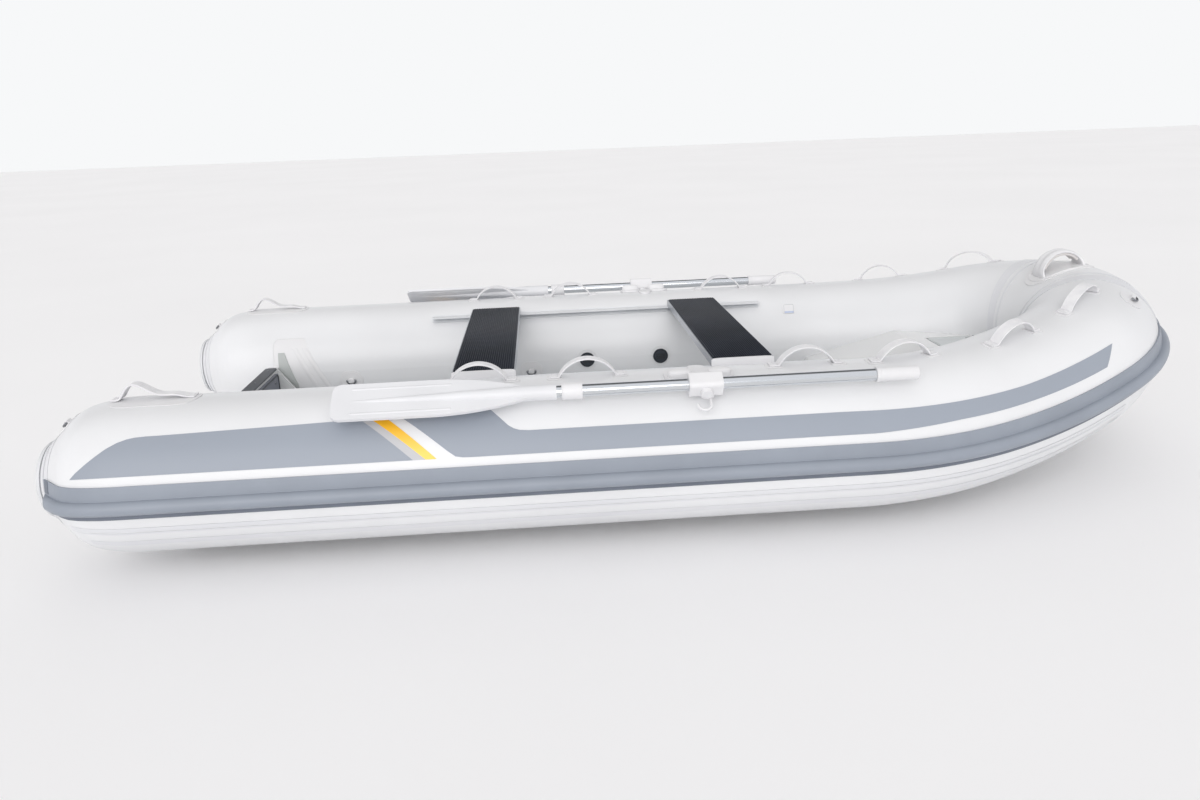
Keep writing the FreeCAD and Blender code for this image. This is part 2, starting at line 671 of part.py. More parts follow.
def make_knees():
    base = Vector(transom_front, -size("knee_spacing") / 2 - size("knee_thick") / 2, deck_top)
    high = UPWARD * (transom_top - size("knee_drop") - deck_top)
    toe = base + ALONG * size("knee_length")
    corners = [base, toe, toe + UPWARD * size("knee_toe"), base + high]
    wall = Part.Face(Part.makePolygon(corners + [base]))
    feature("transom_knees", both_sides([upright(wall.extrude(PORTWARD * size("knee_thick")))]))
    top, bottom = size("ear_top"), size("ear_bottom")
    start = seat_gap
    outline = [(start, -top), (size("ear_top_length"), -top), (size("ear_length"), bottom / 2),
               (size("ear_length"), bottom), (start, bottom)]
    place = seat_on_tube(distance_at(transom_front), size("ear_angle"))
    ear = tube_skin(size("ear_thick")).common(prism_through(outline, place, tube_radius / 2))
    feature("transom_ears", both_sides([largest(ear)]))


# Bow locker


locker_top = tube_rise + size("locker_top_over_tube")
lid_fore = from_bow("lid_hinge")
lid_aft = lid_fore - size("lid_length")
hinge_x = lid_fore + size("lid_gap") / 2
hinge_z = locker_top + size("hinge_knuckle_radius")


def plan_prism(inset, stations):
    """Upright prism whose sides run inside the tube centrelines, through the given X stations."""
    widths = [(x, -frame_at(distance_at(x))[0].y - inset) for x in stations]
    ring = [Vector(x, -y, 0) for x, y in widths] + [Vector(x, y, 0) for x, y in reversed(widths)]
    return Part.Face(Part.makePolygon(ring + [ring[0]])).extrude(UPWARD * 2 * tube_rise)


def locker_slab(points):
    ring = [Vector(x, -tube_spread, z) for x, z in points]
    return Part.Face(Part.makePolygon(ring + [ring[0]])).extrude(PORTWARD * 2 * tube_spread)


def make_locker(tubes):
    foot, knee, brow, end = (from_bow("locker_" + name) for name in ("foot", "knee", "brow", "end"))
    toe = foot - size("locker_toe")
    knee_z = tube_rise + size("locker_knee_over_tube")
    wall, front = size("locker_wall"), size("locker_front_wall")
    outer = [(toe, deck_top), (knee, knee_z), (brow, locker_top), (end, locker_top), (end, step_top),
             (foot, step_top), (foot, deck_top)]
    inner = [(foot + front, step_top + wall), (knee + wall, knee_z - wall), (brow, locker_top - wall),
             (end - wall, locker_top - wall), (end - wall, step_top + wall)]
    shell = locker_slab(outer).common(plan_prism(size("locker_edge_inset"), (toe, knee, brow, end)))
    clear = tube_radius + wall + seat_gap
    inside = locker_slab(inner).common(plan_prism(clear, (foot, knee, brow, end - wall)))
    gap, ledge = size("lid_gap"), size("lid_ledge")
    thick = size("lid_thick") + seat_gap
    half = size("lid_width") / 2
    rim = box_between(lid_aft - ledge, lid_fore + ledge, half + ledge,
                      locker_top - thick - wall, locker_top - wall / 2)
    recess = box_between(lid_aft - gap, lid_fore + gap, half + gap,
                         locker_top - thick, locker_top + cut_past)
    mouth = box_between(lid_aft + ledge, lid_fore - ledge, half - ledge,
                        locker_top - thick - wall - cut_past, locker_top)
    locker = largest(shell.cut(tubes)).cut(inside).fuse(rim).cut(recess).cut(mouth)
    feature("bow_locker", locker.removeSplitter())
    lid = new_body("locker_lid")
    outline = rounded_rectangle(size("lid_length"), size("lid_width"), size("lid_corner"))
    sketch = outline_sketch(lid, "lid_outline", "XY_Plane", outline)
    padded(lid, "lid_plate", sketch, "Sizes.lid_thick")
    slot_middle = -size("lid_length") / 2 + size("lid_slot_inset")
    slot = [tuple(v + slot_middle if i % 2 == 0 else v for i, v in enumerate(entry))
            for entry in oval(size("lid_slot_length"), size("lid_slot_width"))]
    cut = lid.newObject("PartDesign::Pocket", "finger_slot")
    cut.Profile = outline_sketch(lid, "finger_slot_outline", "XY_Plane", slot)
    cut.Type = "ThroughAll"
    cut.Reversed = True
    lid.Placement = Placement(Vector(lid_aft + size("lid_length") / 2, 0, locker_top - size("lid_thick")),
                              Rotation())


def hinge_knuckle(y0, y1, radius):
    return Part.makeCylinder(radius, y1 - y0, Vector(hinge_x, y0, hinge_z), PORTWARD)


def hinge_leaf(direction, y0, y1, tabs):
    """Leaf on the locker's top, forward or aft of the pin, with tabs that reach its knuckles."""
    start, thick = size("hinge_leaf_start"), size("hinge_leaf_thick")
    far = start + size("hinge_leaf")

    def plate(near, reach, low, high):
        x0 = hinge_x + direction * near if direction > 0 else hinge_x - reach
        return Part.makeBox(reach - near, high - low, thick, Vector(x0, low, locker_top))

    leaf = plate(start, far, y0, y1)
    return leaf.multiFuse([plate(0, start + thick, low, high) for low, high in tabs])


def make_hinges():
    """Butt hinges: two outer knuckles and the pin on the locker, the middle knuckle on the lid."""
    radius, pin = size("hinge_knuckle_radius"), size("hinge_pin_radius")
    fixed, moving = [], []
    for side in (STARBOARD, PORT):
        middle = side * size("hinge_spacing") / 2
        y0, y1 = middle - size("hinge_width") / 2, middle + size("hinge_width") / 2
        third = size("hinge_width") / 3
        outer = [(y0, y0 + third), (y1 - third, y1)]
        centre = (y0 + third + seat_gap, y1 - third - seat_gap)
        knuckles = [hinge_knuckle(low, high, radius) for low, high in outer]
        leaf = hinge_leaf(1, y0, y1, outer).multiFuse(knuckles + [hinge_knuckle(y0, y1, pin)])
        fixed.append(leaf.removeSplitter())
        eye = hinge_leaf(-1, y0, y1, [centre]).fuse(hinge_knuckle(centre[0], centre[1], radius))
        moving.append(eye.cut(hinge_knuckle(y0, y1, pin + seat_gap)).removeSplitter())
    feature("locker_hinges", Part.Compound([item.Solids[0] for item in fixed]))
    feature("locker_lid_hinges", Part.Compound([item.Solids[0] for item in moving]))


# Seat rails and thwarts


seat_under = tube_rise + tube_radius - size("thwart_below_crown") - size("thwart_thick")
rail_fore = ARC_ONE.start.x - size("seat_rail_bend_gap")


def make_seat_rails():
    """A strip on each tube's inner shoulder with a level lip for the thwart hooks."""
    angle = math.radians(size("seat_angle"))
    foot = tube_radius + seat_gap
    length = size("seat_rail_aft") + rail_fore
    base = size("seat_rail_base")
    strip = Part.makeBox(length, base, size("seat_rail_thick"), Vector(0, -base / 2, 0))
    root_y = tube_spread - foot * math.sin(angle)
    strip.Placement = Placement(Vector(-size("seat_rail_aft"), -root_y, tube_rise + foot * math.cos(angle)),
                                Rotation(ALONG, -math.degrees(angle)))
    inner = size("thwart_half_span") - size("seat_rail_reach")
    outer = root_y + size("seat_rail_root")
    lip = Part.makeBox(length, outer - inner, size("seat_rail_lip"),
                       Vector(-size("seat_rail_aft"), -outer, seat_under - seat_gap - size("seat_rail_lip")))
    feature("seat_rails", both_sides([largest(strip.fuse(lip).removeSplitter())]))


def thwart_section():
    """Half-open section across the boat: the plank with a hook under each rail lip."""
    span, thick = size("thwart_half_span"), size("thwart_thick")
    hook = span - size("seat_rail_reach") - size("hook_gap")
    lip = size("seat_rail_lip") + size("hook_play")
    drop = lip + size("hook_thick")
    reach, web = hook + size("hook_reach"), hook - size("hook_web")
    return [(-span, 0), (-hook, 0), (-hook, -lip), (-reach, -lip), (-reach, -drop), (-web, -drop), (-web, 0),
            (web, 0), (web, -drop), (reach, -drop), (reach, -lip), (hook, -lip), (hook, 0), (span, 0),
            (span, thick), (-span, thick)]


def make_thwarts():
    for name, x in (("aft", size("thwart_aft_x")), ("fore", rail_fore - size("thwart_fore_from_rail"))):
        plank = new_body("thwart_" + name)
        sketch = outline_sketch(plank, "thwart_section_" + name, "YZ_Plane", thwart_section())
        padded(plank, "thwart_plank_" + name, sketch, "Sizes.thwart_width", midplane=True)
        plank.Placement = Placement(Vector(x, 0, seat_under), Rotation())
        tread = new_body("thwart_tread_" + name)
        inset = size("tread_inset")
        points = rounded_rectangle(size("thwart_width") - 2 * inset,
                                   2 * (size("thwart_half_span") - inset), size("tread_corner"))
        sketch = outline_sketch(tread, "tread_outline_" + name, "XY_Plane", points)
        padded(tread, "tread_sheet_" + name, sketch, "Sizes.tread_thick")
        tread.Placement = Placement(Vector(x, 0, seat_under + size("thwart_thick")), Rotation())


# Oars and rowlocks; local X is forward along the tube, local Z is out of the tube


shaft_radius = size("oar_shaft_radius")
blade_tip = -size("oar_blade_side")
blade_neck = blade_tip + size("blade_length")
shaft_start = blade_neck - size("socket_depth")
grip_start = size("oar_grip_side") - size("grip_length")


def rod(radius, start, end):
    return Part.makeCylinder(radius, end - start, Vector(start, 0, 0), ALONG)


def oar_placement():
    return seat_on_tube(distance_at(size("rowlock_x")), size("rowlock_angle"), size("oar_height"))


def blade_outline():
    """Round-cornered tip, full width, then a long sweep in to the neck."""
    half, round_tip = size("blade_width") / 2, size("blade_tip_round")
    neck_half = shaft_radius + size("socket_wall")
    full = blade_tip + size("blade_length") * size("blade_full_share")
    narrow = blade_tip + size("blade_length") * size("blade_neck_share")
    sweep = ((full + narrow) / 2 + round_tip, (half + neck_half) / 2 + round_tip / 4)
    corner = round_tip * (1 - math.sqrt(0.5))
    upper = [(blade_tip, -half + round_tip), (blade_tip, half - round_tip),
             (blade_tip + corner, half - corner, blade_tip + round_tip, half), (full, half),
             sweep + (narrow, neck_half), (blade_neck, neck_half)]
    lower = [(blade_neck, -neck_half), (narrow, -neck_half), (sweep[0], -sweep[1], full, -half),
             (blade_tip + round_tip, -half),
             (blade_tip + corner, -half + corner, blade_tip, -half + round_tip)]
    return upper + lower


def oar_blade():
    """Flat blade with a tapered spine that swells into the socket, and a rib along each side."""
    thick = size("blade_thick")
    plate = flat_face(blade_outline()).extrude(UPWARD * thick)
    plate.translate(UPWARD * -thick / 2)
    spine_start = blade_tip + size("blade_spine_start")
    neck_radius = shaft_radius + size("socket_wall")
    wide_at = blade_tip + size("blade_length") * size("blade_neck_share")
    spine = Part.makeCone(size("blade_spine_tip"), neck_radius, wide_at - spine_start,
                          Vector(spine_start, 0, 0), ALONG)
    ribs = []
    for side in (STARBOARD, PORT):
        y = side * size("blade_rib_spread")
        start = Vector(spine_start, y, 0)
        rib = Part.makeCylinder(size("blade_rib_radius"), size("blade_rib_length"), start, ALONG)
        end = start + ALONG * size("blade_rib_length")
        ribs += [rib] + [Part.makeSphere(size("blade_rib_radius"), tip) for tip in (start, end)]
    blade = plate.multiFuse([spine, rod(neck_radius, wide_at, blade_neck)] + ribs)
    bore = rod(shaft_radius + seat_gap, shaft_start - seat_gap, blade_neck + cut_past)
    return largest(blade.cut(bore).removeSplitter())


def make_oars():
    blade = oar_blade()
    grip_end = size("oar_grip_side")
    grip_depth = grip_start + size("grip_socket")
    shaft = rod(shaft_radius, shaft_start, grip_depth - seat_gap)
    sleeve_start = blade_neck + size("sleeve_start")
    bore = rod(shaft_radius + seat_gap, sleeve_start - cut_past, grip_depth)
    sleeve_end = sleeve_start + size("sleeve_length")
    sleeve = rod(shaft_radius + size("sleeve_wall"), sleeve_start, sleeve_end).cut(bore)
    radius, collar, end_round = size("grip_radius"), size("grip_collar"), size("grip_round")
    neck = grip_start + size("grip_collar_length")
    corner = end_round * (1 - math.sqrt(0.5))
    outline = [(grip_start, 0), (grip_start, radius + collar), (neck, radius + collar),
               (neck + collar, radius), (grip_end - end_round, radius),
               (grip_end - corner, radius - corner, grip_end, radius - end_round), (grip_end, 0)]
    grip = upright(flat_face(outline).revolve(HERE, ALONG, 360)).cut(bore)
    place = oar_placement()
    for side in (STARBOARD, PORT):
        name = SIDE_NAMES[side]
        for label, solid in (("blade", blade), ("shaft", shaft), ("sleeve", sleeve), ("grip", grip)):
            feature("oar_%s_%s" % (label, name), on_side(placed(solid, place), side))


def rowlock_base():
    """Two round lobes on the tube's shoulder joined by a bridge that carries the post."""
    skin = tube_skin(size("rowlock_plate_thick"))
    distance = distance_at(size("rowlock_x"))
    centre = seat_on_tube(distance, size("rowlock_plate_angle"))
    reach = tube_radius / 2
    corner = size("rowlock_lobe_corner")
    lobe = rounded_rectangle(size("rowlock_lobe_length"), size("rowlock_lobe_width"), corner)
    bridge = rounded_rectangle(size("rowlock_bridge_width"), size("rowlock_bridge_length"), corner)
    base = skin.common(prism_through(bridge, centre, reach))
    for end in (-1, 1):
        aside = seat_on_tube(distance + end * size("rowlock_lobe_spread") / 2, size("rowlock_plate_angle"))
        base = base.fuse(skin.common(prism_through(lobe, aside, reach)))
    post_top = size("oar_height") - shaft_radius - size("clamp_wall") - seat_gap
    post = Part.makeCylinder(size("rowlock_post_radius"), post_top - seat_gap, Vector(0, 0, seat_gap))
    post = placed(post, seat_on_tube(distance, size("rowlock_angle")))
    boss = Part.makeCylinder(size("boss_radius"), size("boss_height"))
    boss = placed(boss, seat_on_tube(distance, size("boss_angle")))
    return largest(base.multiFuse([post, boss]).cut(tube_core(seat_gap)).removeSplitter())


def clamp_hook(face_y, bottom_z):
    """Hook for the oar's lanyard: a stem down the clamp's outboard face, then half a turn."""
    wire, bend, x = size("hook_wire"), size("hook_bend"), size("hook_stem_x")
    level = bottom_z + size("hook_sink")
    start = Vector(x, face_y + 2 * wire, level)
    low = Vector(x, face_y - size("hook_drop"), level)
    stem = Part.makeCylinder(wire, start.y - low.y, start, -PORTWARD)
    turn = upright(disc(low, PORTWARD, wire).revolve(low - ALONG * bend, UPWARD, -180))
    return [stem, turn, Part.makeSphere(wire, low - ALONG * 2 * bend)]


def rowlock_clamp():
    """Round-edged block clamped round the shaft."""
    length, width = size("clamp_length"), size("clamp_width")
    height = 2 * (shaft_radius + size("clamp_wall"))
    block = Part.makeBox(length, width, height, Vector(-length / 2, -width / 2, -height / 2))
    edges = [edge for edge in block.Edges if abs(edge.tangentAt(0).x) > 0.9]
    block = block.makeFillet(size("clamp_corner"), edges).multiFuse(clamp_hook(-width / 2, -height / 2))
    return block.cut(rod(shaft_radius + seat_gap, -length, length)).removeSplitter()


def make_rowlocks():
    base = rowlock_base()
    clamp = rowlock_clamp()
    for side in (STARBOARD, PORT):
        name = SIDE_NAMES[side]
        feature("rowlock_base_" + name, on_side(base, side))
        feature("rowlock_clamp_" + name, on_side(placed(clamp, oar_placement()), side))
        knob = doc.addObject("Part::Cylinder", "rowlock_knob_" + name)
        knob.setExpression("Radius", "Sizes.knob_radius")
        knob.setExpression("Height", "Sizes.knob_length")
        outboard = Placement(Vector(0, -size("clamp_width") / 2 - seat_gap, 0), Rotation(UPWARD, -PORTWARD))
        place = oar_placement().multiply(outboard)
        if side == PORT:
            place = framed(Vector(place.Base.x, -place.Base.y, place.Base.z), ALONG,
                           mirrored_direction(place.Rotation.multVec(UPWARD)))
        knob.Placement = place
        keep(knob, "rowlock_knob_" + name)


def mirrored_direction(direction):
    return Vector(direction.x, -direction.y, direction.z)


# Webbing handles with their tabs


def strap_solid(span, rise):
    """Webbing handle standing on local Z: an arch between two flat feet."""
    half, thick, width = span / 2, size("strap_thick"), size("strap_width")
    arch = half - size("strap_foot")
    root = arch + thick / 2
    points = [(-half, 0), (-arch, 0), (0, rise - thick, arch, 0), (half, 0), (half, thick),
              (root, thick), (0, rise, -root, thick), (-half, thick)]
    face = flat_face(points, Placement(HERE, Rotation(ALONG, 90)))
    face.translate(PORTWARD * width / 2)
    return upright(face.extrude(PORTWARD * -width))


HANDLE_PLACES = {"aft": (size("strap_one_x"), size("strap_two_x"), from_bow("strap_three")),
                 "fore": (from_bow("strap_four"), from_bow("strap_five"), from_bow("strap_six"))}


def make_handles():
    skin = tube_skin(size("patch_thick"))
    strap = strap_solid(size("strap_span"), size("strap_rise"))
    lift = seat_gap * 2 + size("patch_thick")
    tab = rounded_rectangle(size("tab_length"), size("tab_width"), size("tab_corner"))
    foot = (size("strap_span") - size("strap_foot")) / 2
    tabs = []
    for group, places in HANDLE_PLACES.items():
        straps = []
        for x in places:
            distance = distance_at(x)
            extra = 0 if distance < STRAIGHT.length else size("bow_strap_lift")
            straps.append(placed(strap, seat_on_tube(distance, 0, lift + extra)))
            for end in (-1, 1):
                place = seat_on_tube(distance + end * foot, 0)
                tabs.append(largest(skin.common(prism_through(tab, place, tube_radius / 2))))
        for side in (STARBOARD, PORT):
            shape = Part.Compound([on_side(item, side) for item in straps])
            feature("grab_straps_%s_%s" % (group, SIDE_NAMES[side]), shape)
    feature("strap_tabs", both_sides(tabs))


def ribbon(points, thick, width):
    """Webbing that follows a smooth line through points of the local XZ plane."""
    line = Part.BSplineCurve()
    line.interpolate([Vector(x, 0, z) for x, z in points])
    first, last = line.FirstParameter, line.LastParameter
    count = 4 * len(points)
    below, above = [], []
    for step in range(count + 1):
        at = first + (last - first) * step / count
        slope = line.tangent(at)[0]
        normal = Vector(-slope.z, 0, slope.x)
        below.append(line.value(at) - normal * thick / 2)
        above.append(line.value(at) + normal * thick / 2)
    edges = []
    for side in (below, above):
        curve = Part.BSplineCurve()
        curve.interpolate(side)
        edges.append(curve.toShape())
    edges.append(Part.LineSegment(below[0], above[0]).toShape())
    edges.append(Part.LineSegment(below[-1], above[-1]).toShape())
    face = Part.Face(Part.Wire(Part.__sortEdges__(edges)))
    face.translate(PORTWARD * width / 2)
    return upright(face.extrude(PORTWARD * -width))


def make_carry_straps():
    """Slack lifting handle over each tail join: steep aft, then a long sag to the forward foot."""
    span, rise, sag = size("carry_span"), size("carry_rise"), size("carry_sag")
    thick, foot = size("strap_thick"), size("strap_foot")
    base = thick / 2
    aft, fore = -span / 2, span / 2
    points = [(aft - foot, base), (aft - foot / 4, base + 1), (aft + span * 0.06, rise / 2),
              (aft + span * 0.2, rise - base), (aft + span * 0.42, rise * 0.62), (aft + span * 0.62, sag),
              (aft + span * 0.86, sag * 0.85), (fore + foot / 4, base + 1), (fore + foot, base)]
    strap = ribbon(points, thick, size("strap_width"))
    place = seat_on_tube(distance_at(size("carry_x")), 0, seat_gap * 2 + size("patch_thick"))
    feature("carry_straps", both_sides([placed(strap, place)]))
    pad = prism_through(oval(size("carry_pad_length"), size("carry_pad_width")),
                        seat_on_tube(distance_at(size("carry_x")), 0), tube_radius / 2)
    thick = size("patch_thick")
    layer = tube_skin(thick).fuse(tail_core(seat_gap + thick).cut(tail_core(seat_gap)))
    feature("carry_pads", both_sides([largest(layer.common(pad).removeSplitter())]))


def make_bow_handle():
    """Broad arched handle across the nose, on its own pad."""
    half, rise, thick = size("bow_handle_span") / 2, size("bow_handle_rise"), size("bow_handle_thick")
    root, width = size("bow_handle_root"), size("bow_handle_width")
    points = [(-half, -root), (-half, 0), (0, rise, half, 0), (half, -root), (half - thick, -root),
              (half - thick, 0), (0, rise - thick, -half + thick, 0), (-half + thick, -root)]
    face = flat_face(points, Placement(HERE, Rotation(UPWARD, 90).multiply(Rotation(ALONG, 90))))
    arch = face.extrude(ALONG * width)
    arch.translate(ALONG * -width / 2)
    place = seat_on_tube(RUN_LENGTH, size("bow_handle_angle"))
    pad_thick = size("bow_pad_thick")
    handle = placed(upright(arch), place).cut(nose_core(pad_thick + 2 * seat_gap))
    feature("bow_handle", largest(handle))
    layer = nose_core(pad_thick + seat_gap).cut(nose_core(seat_gap))
    pad = prism_through(oval(size("bow_pad_width"), size("bow_pad_length")), place, tube_radius / 2)
    feature("bow_handle_pad", largest(layer.common(pad).removeSplitter()))


# Rings, valves and the blank plate


def d_ring():
    """Half ring on a straight bar, hanging towards local Y."""
    radius, wire = size("ring_radius"), size("ring_wire")
    bow = disc(Vector(radius, 0, 0), PORTWARD, wire).revolve(HERE, UPWARD, 180)
    bar = rod(wire, -radius, radius)
    corners = [Part.makeSphere(wire, Vector(end * radius, 0, 0)) for end in (-1, 1)]
    return largest(upright(bow).multiFuse([bar] + corners).removeSplitter())


def ring_fitting(layer, place, turn):
    """Pad with a loop for the ring's bar, and the ring, turned about the pad's normal."""
    wire, wall = size("ring_wire"), size("loop_wall")
    bar_height = size("patch_thick") + 2 * seat_gap + wall + wire
    length, width = size("loop_length"), size("loop_width")
    turned = place.multiply(Placement(HERE, Rotation(UPWARD, turn)))
    seat = turned.multiply(Placement(Vector(0, 0, bar_height), Rotation()))
    pad = largest(layer.common(prism_through(oval(size("ring_pad_length"), size("ring_pad_width")), turned,
                                             tube_radius / 2)).removeSplitter())
    block = Part.makeBox(length, width, bar_height + wire + wall - seat_gap,
                         Vector(-length / 2, -width / 2, seat_gap))
    pad = pad.fuse(placed(block, turned)).cut(placed(rod(wire + seat_gap, -length, length), seat))
    return pad, placed(d_ring(), seat)


def make_rings():
    layer = tube_skin(size("patch_thick"))
    core = tube_core(seat_gap)
    thick = size("patch_thick")
    tail_cut = tail_core(seat_gap)
    tail_layer = tail_core(seat_gap + thick).cut(tail_cut)
    tow_place = seat_on_tube(distance_at_point(from_bow("tow_ring")), size("tow_ring_angle"))
    fittings = [(layer, core, tow_place, 180)]
    for name in ("aft", "fore"):
        place = seat_on_tube(distance_at(size("cockpit_ring_%s_x" % name)), size("cockpit_ring_angle"))
        fittings.append((layer, core, place, 0))
    fittings.append((tail_layer, tail_cut, seat_on_tail(size("stern_ring_aft")), 90))
    pads, rings = [], []
    for skin, inner, place, turn in fittings:
        pad, ring = ring_fitting(skin, place, turn)
        pads.append(largest(pad.cut(inner).removeSplitter()))
        rings.append(ring)
    feature("ring_pads", both_sides(pads))
    feature("d_rings", both_sides(rings))


def distance_at_point(x):
    """Distance at which the surface point of the tow ring has the given X."""
    low, high = 0.0, RUN_LENGTH
    for step in range(50):
        middle = (low + high) / 2
        if seat_on_tube(middle, size("tow_ring_angle")).Base.x < x:
            low = middle
        else:
            high = middle
    return low


def make_valves():
    skin = tube_skin(size("valve_flange_thick"))
    valves = []
    for name in ("aft", "fore"):
        place = seat_on_tube(distance_at(size("valve_%s_x" % name)), size("valve_angle"))
        flange = size("valve_flange_radius")
        ring = skin.common(prism_through(oval(2 * flange, 2 * flange - 1), place, tube_radius / 2))
        cap = Part.makeCylinder(size("valve_cap_radius"), size("valve_cap_height"))
        valves.append(largest(ring.fuse(placed(cap, place)).cut(tube_core(seat_gap)).removeSplitter()))
    feature("valves", both_sides(valves))
    outline = rounded_rectangle(size("plate_length"), size("plate_width"), size("plate_corner"))
    place = seat_on_tube(distance_at(from_bow("plate")), size("plate_angle"))
    plate = tube_skin(size("patch_thick")).common(prism_through(outline, place, tube_radius / 2))
    feature("blank_plate", mirrored(largest(plate)))


def write_parts():
    os.makedirs("parts", exist_ok=True)
    for item in doc.Objects:
        if "Invalid" in item.State or "Error" in item.State:
            raise RuntimeError("failed: " + item.Label)
    for item in parts_made:
        shape = item.Shape
        if shape.isNull() or not shape.isValid() or shape.Volume <= 0:
            raise RuntimeError("bad shape: " + item.Label)
    for item in parts_made:
        item.Shape.exportStep("parts/%s.step" % item.Label)
        print(item.Label, len(item.Shape.Solids), round(item.Shape.Volume / 1e6, 3))


wide_half = tube_core(seat_gap)
wide_tubes = wide_half.fuse(mirrored(wide_half))
make_tubes()
make_tails()
make_strakes()
make_hull(wide_tubes)
make_transom(wide_tubes)
make_knees()
make_locker(wide_tubes)
make_hinges()
make_seat_rails()
make_thwarts()
make_oars()
make_rowlocks()
make_handles()
make_carry_straps()
make_bow_handle()
make_rings()
make_valves()
doc.recompute()
write_parts()
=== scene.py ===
"""Looks of an inflatable boat with a rigid hull: printed panels and seams on the tubes, webbing handles,
fittings, finishes, floor, light and camera. All lengths are in metres and all angles in degrees."""
import math

import bpy
import numpy as np
from bpy.props import FloatProperty, FloatVectorProperty, PointerProperty
from mathutils import Matrix, Vector


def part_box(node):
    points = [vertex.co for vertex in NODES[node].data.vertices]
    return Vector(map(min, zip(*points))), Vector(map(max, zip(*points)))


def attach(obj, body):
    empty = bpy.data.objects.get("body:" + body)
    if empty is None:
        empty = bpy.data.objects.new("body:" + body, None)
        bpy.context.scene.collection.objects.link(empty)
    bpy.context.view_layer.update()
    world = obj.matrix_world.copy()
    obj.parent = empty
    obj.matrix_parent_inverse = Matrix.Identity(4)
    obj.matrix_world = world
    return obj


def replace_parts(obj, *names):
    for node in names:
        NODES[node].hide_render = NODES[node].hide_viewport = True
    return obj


bl_info = {
    "name": "Inflatable Boat Finishes",
    "version": (1, 0, 0),
    "blender": (4, 5, 0),
    "location": "3D View > Sidebar > Boat",
    "description": "Builds the printed panels, seams, webbing and finishes of a rigid-hull inflatable boat",
    "category": "Object",
}

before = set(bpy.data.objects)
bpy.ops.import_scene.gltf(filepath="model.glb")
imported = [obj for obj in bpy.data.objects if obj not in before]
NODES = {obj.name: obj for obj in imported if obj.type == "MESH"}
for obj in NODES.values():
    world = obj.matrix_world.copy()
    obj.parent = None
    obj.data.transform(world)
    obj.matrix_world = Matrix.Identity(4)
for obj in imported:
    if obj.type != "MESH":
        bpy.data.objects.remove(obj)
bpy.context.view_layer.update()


def linear(code):
    """Linear colour of an sRGB hex code."""
    parts = np.array([int(code[i:i + 2], 16) for i in (1, 3, 5)]) / 255
    low, high = parts / 12.92, ((parts + 0.055) / 1.055) ** 2.4
    return tuple(np.where(parts <= 0.04045, low, high).tolist())


# The starboard tube's surface as a function of distance along it and angle round it

TUBE_RADIUS, TUBE_SPREAD, TUBE_RISE = 0.220, 0.640, 0.275
TAIL_JOIN_X, BEND_X = -1.450, 0.52997
# Radius, turn and roll of the bow's arcs; radius and turn of the tail's
BOW_ARCS = ((1.050, 21.0, 12.0), (2.350, 11.5, 48.0))
TAIL_STRAIGHT, TAIL_ARCS = 0.054, ((0.498, 12.3), (0.121, 31.3))
UP = np.array([0.0, 0.0, 1.0])
FORWARD = np.array([1.0, 0.0, 0.0])
STARBOARD_OUT = np.array([0.0, -1.0, 0.0])
FILM_BASE, FILM_THICK = 0.0003, 0.0006


def unit(vectors):
    """Vectors divided by their lengths."""
    return vectors / np.linalg.norm(vectors, axis=-1, keepdims=True)


def turned(vector, axis, angles):
    """The vector v turned about the unit axis a by each angle t:
    v cos t + (a x v) sin t + a (a . v)(1 - cos t)."""
    cos, sin = np.cos(angles)[..., None], np.sin(angles)[..., None]
    return vector * cos + np.cross(axis, vector) * sin + axis * np.dot(axis, vector) * (1 - cos)


class Stretch:
    """A straight run (radius 0) or an arc of the tube's centreline."""

    def __init__(self, start, along, out, up, length, radius=0.0, toward=None):
        self.start, self.ways = start, (along, out, up)
        self.length, self.radius = length, radius
        if radius:
            self.centre = start + toward * radius
            self.axis = np.cross(along, toward)

    def frames(self, distances):
        """Points, forward, outward and upward directions at distances along the stretch."""
        if not self.radius:
            points = self.start + distances[..., None] * self.ways[0]
            return [points] + [np.broadcast_to(way, points.shape) for way in self.ways]
        angles = distances / self.radius
        points = self.centre + turned(self.start - self.centre, self.axis, angles)
        return [points] + [turned(way, self.axis, angles) for way in self.ways]


def starboard_run():
    """Straight tube, two long arcs that rise towards the bow, and the nose arc up to the centre plane."""
    start = np.array([TAIL_JOIN_X, -TUBE_SPREAD, TUBE_RISE])
    run = [Stretch(start, FORWARD, STARBOARD_OUT, UP, BEND_X - TAIL_JOIN_X)]
    point, along, out, up = run[0].frames(np.array(run[0].length))
    for radius, turn, roll in BOW_ARCS:
        inward = unit(np.cross(UP, along))
        above = np.cross(along, inward)
        toward = inward * math.cos(math.radians(roll)) + above * math.sin(math.radians(roll))
        run.append(Stretch(point, along, out, up, math.radians(turn) * radius, radius, toward))
        point, along, out, up = run[-1].frames(np.array(run[-1].length))
    lean = math.asin(along[1])
    toward = unit(-STARBOARD_OUT - along * along[1])
    radius = -point[1] / math.cos(lean)
    run.append(Stretch(point, along, out, up, (math.pi / 2 - lean) * radius, radius, toward))
    return run


RUN = starboard_run()
RUN_STARTS = np.cumsum([0.0] + [stretch.length for stretch in RUN])
NOSE_START_S, NOSE_S = RUN_STARTS[-2:]


def centreline(s):
    """Frames of the starboard centreline at distances forward of the tail join."""
    s = np.clip(np.asarray(s, float), 0, NOSE_S)
    found = np.zeros((4,) + s.shape + (3,))
    for stretch, start, end in zip(RUN, RUN_STARTS, RUN_STARTS[1:]):
        here = (s >= start) & (s <= end + 1e-9)
        if here.any():
            found[:, here] = stretch.frames(s[here] - start)
    return found


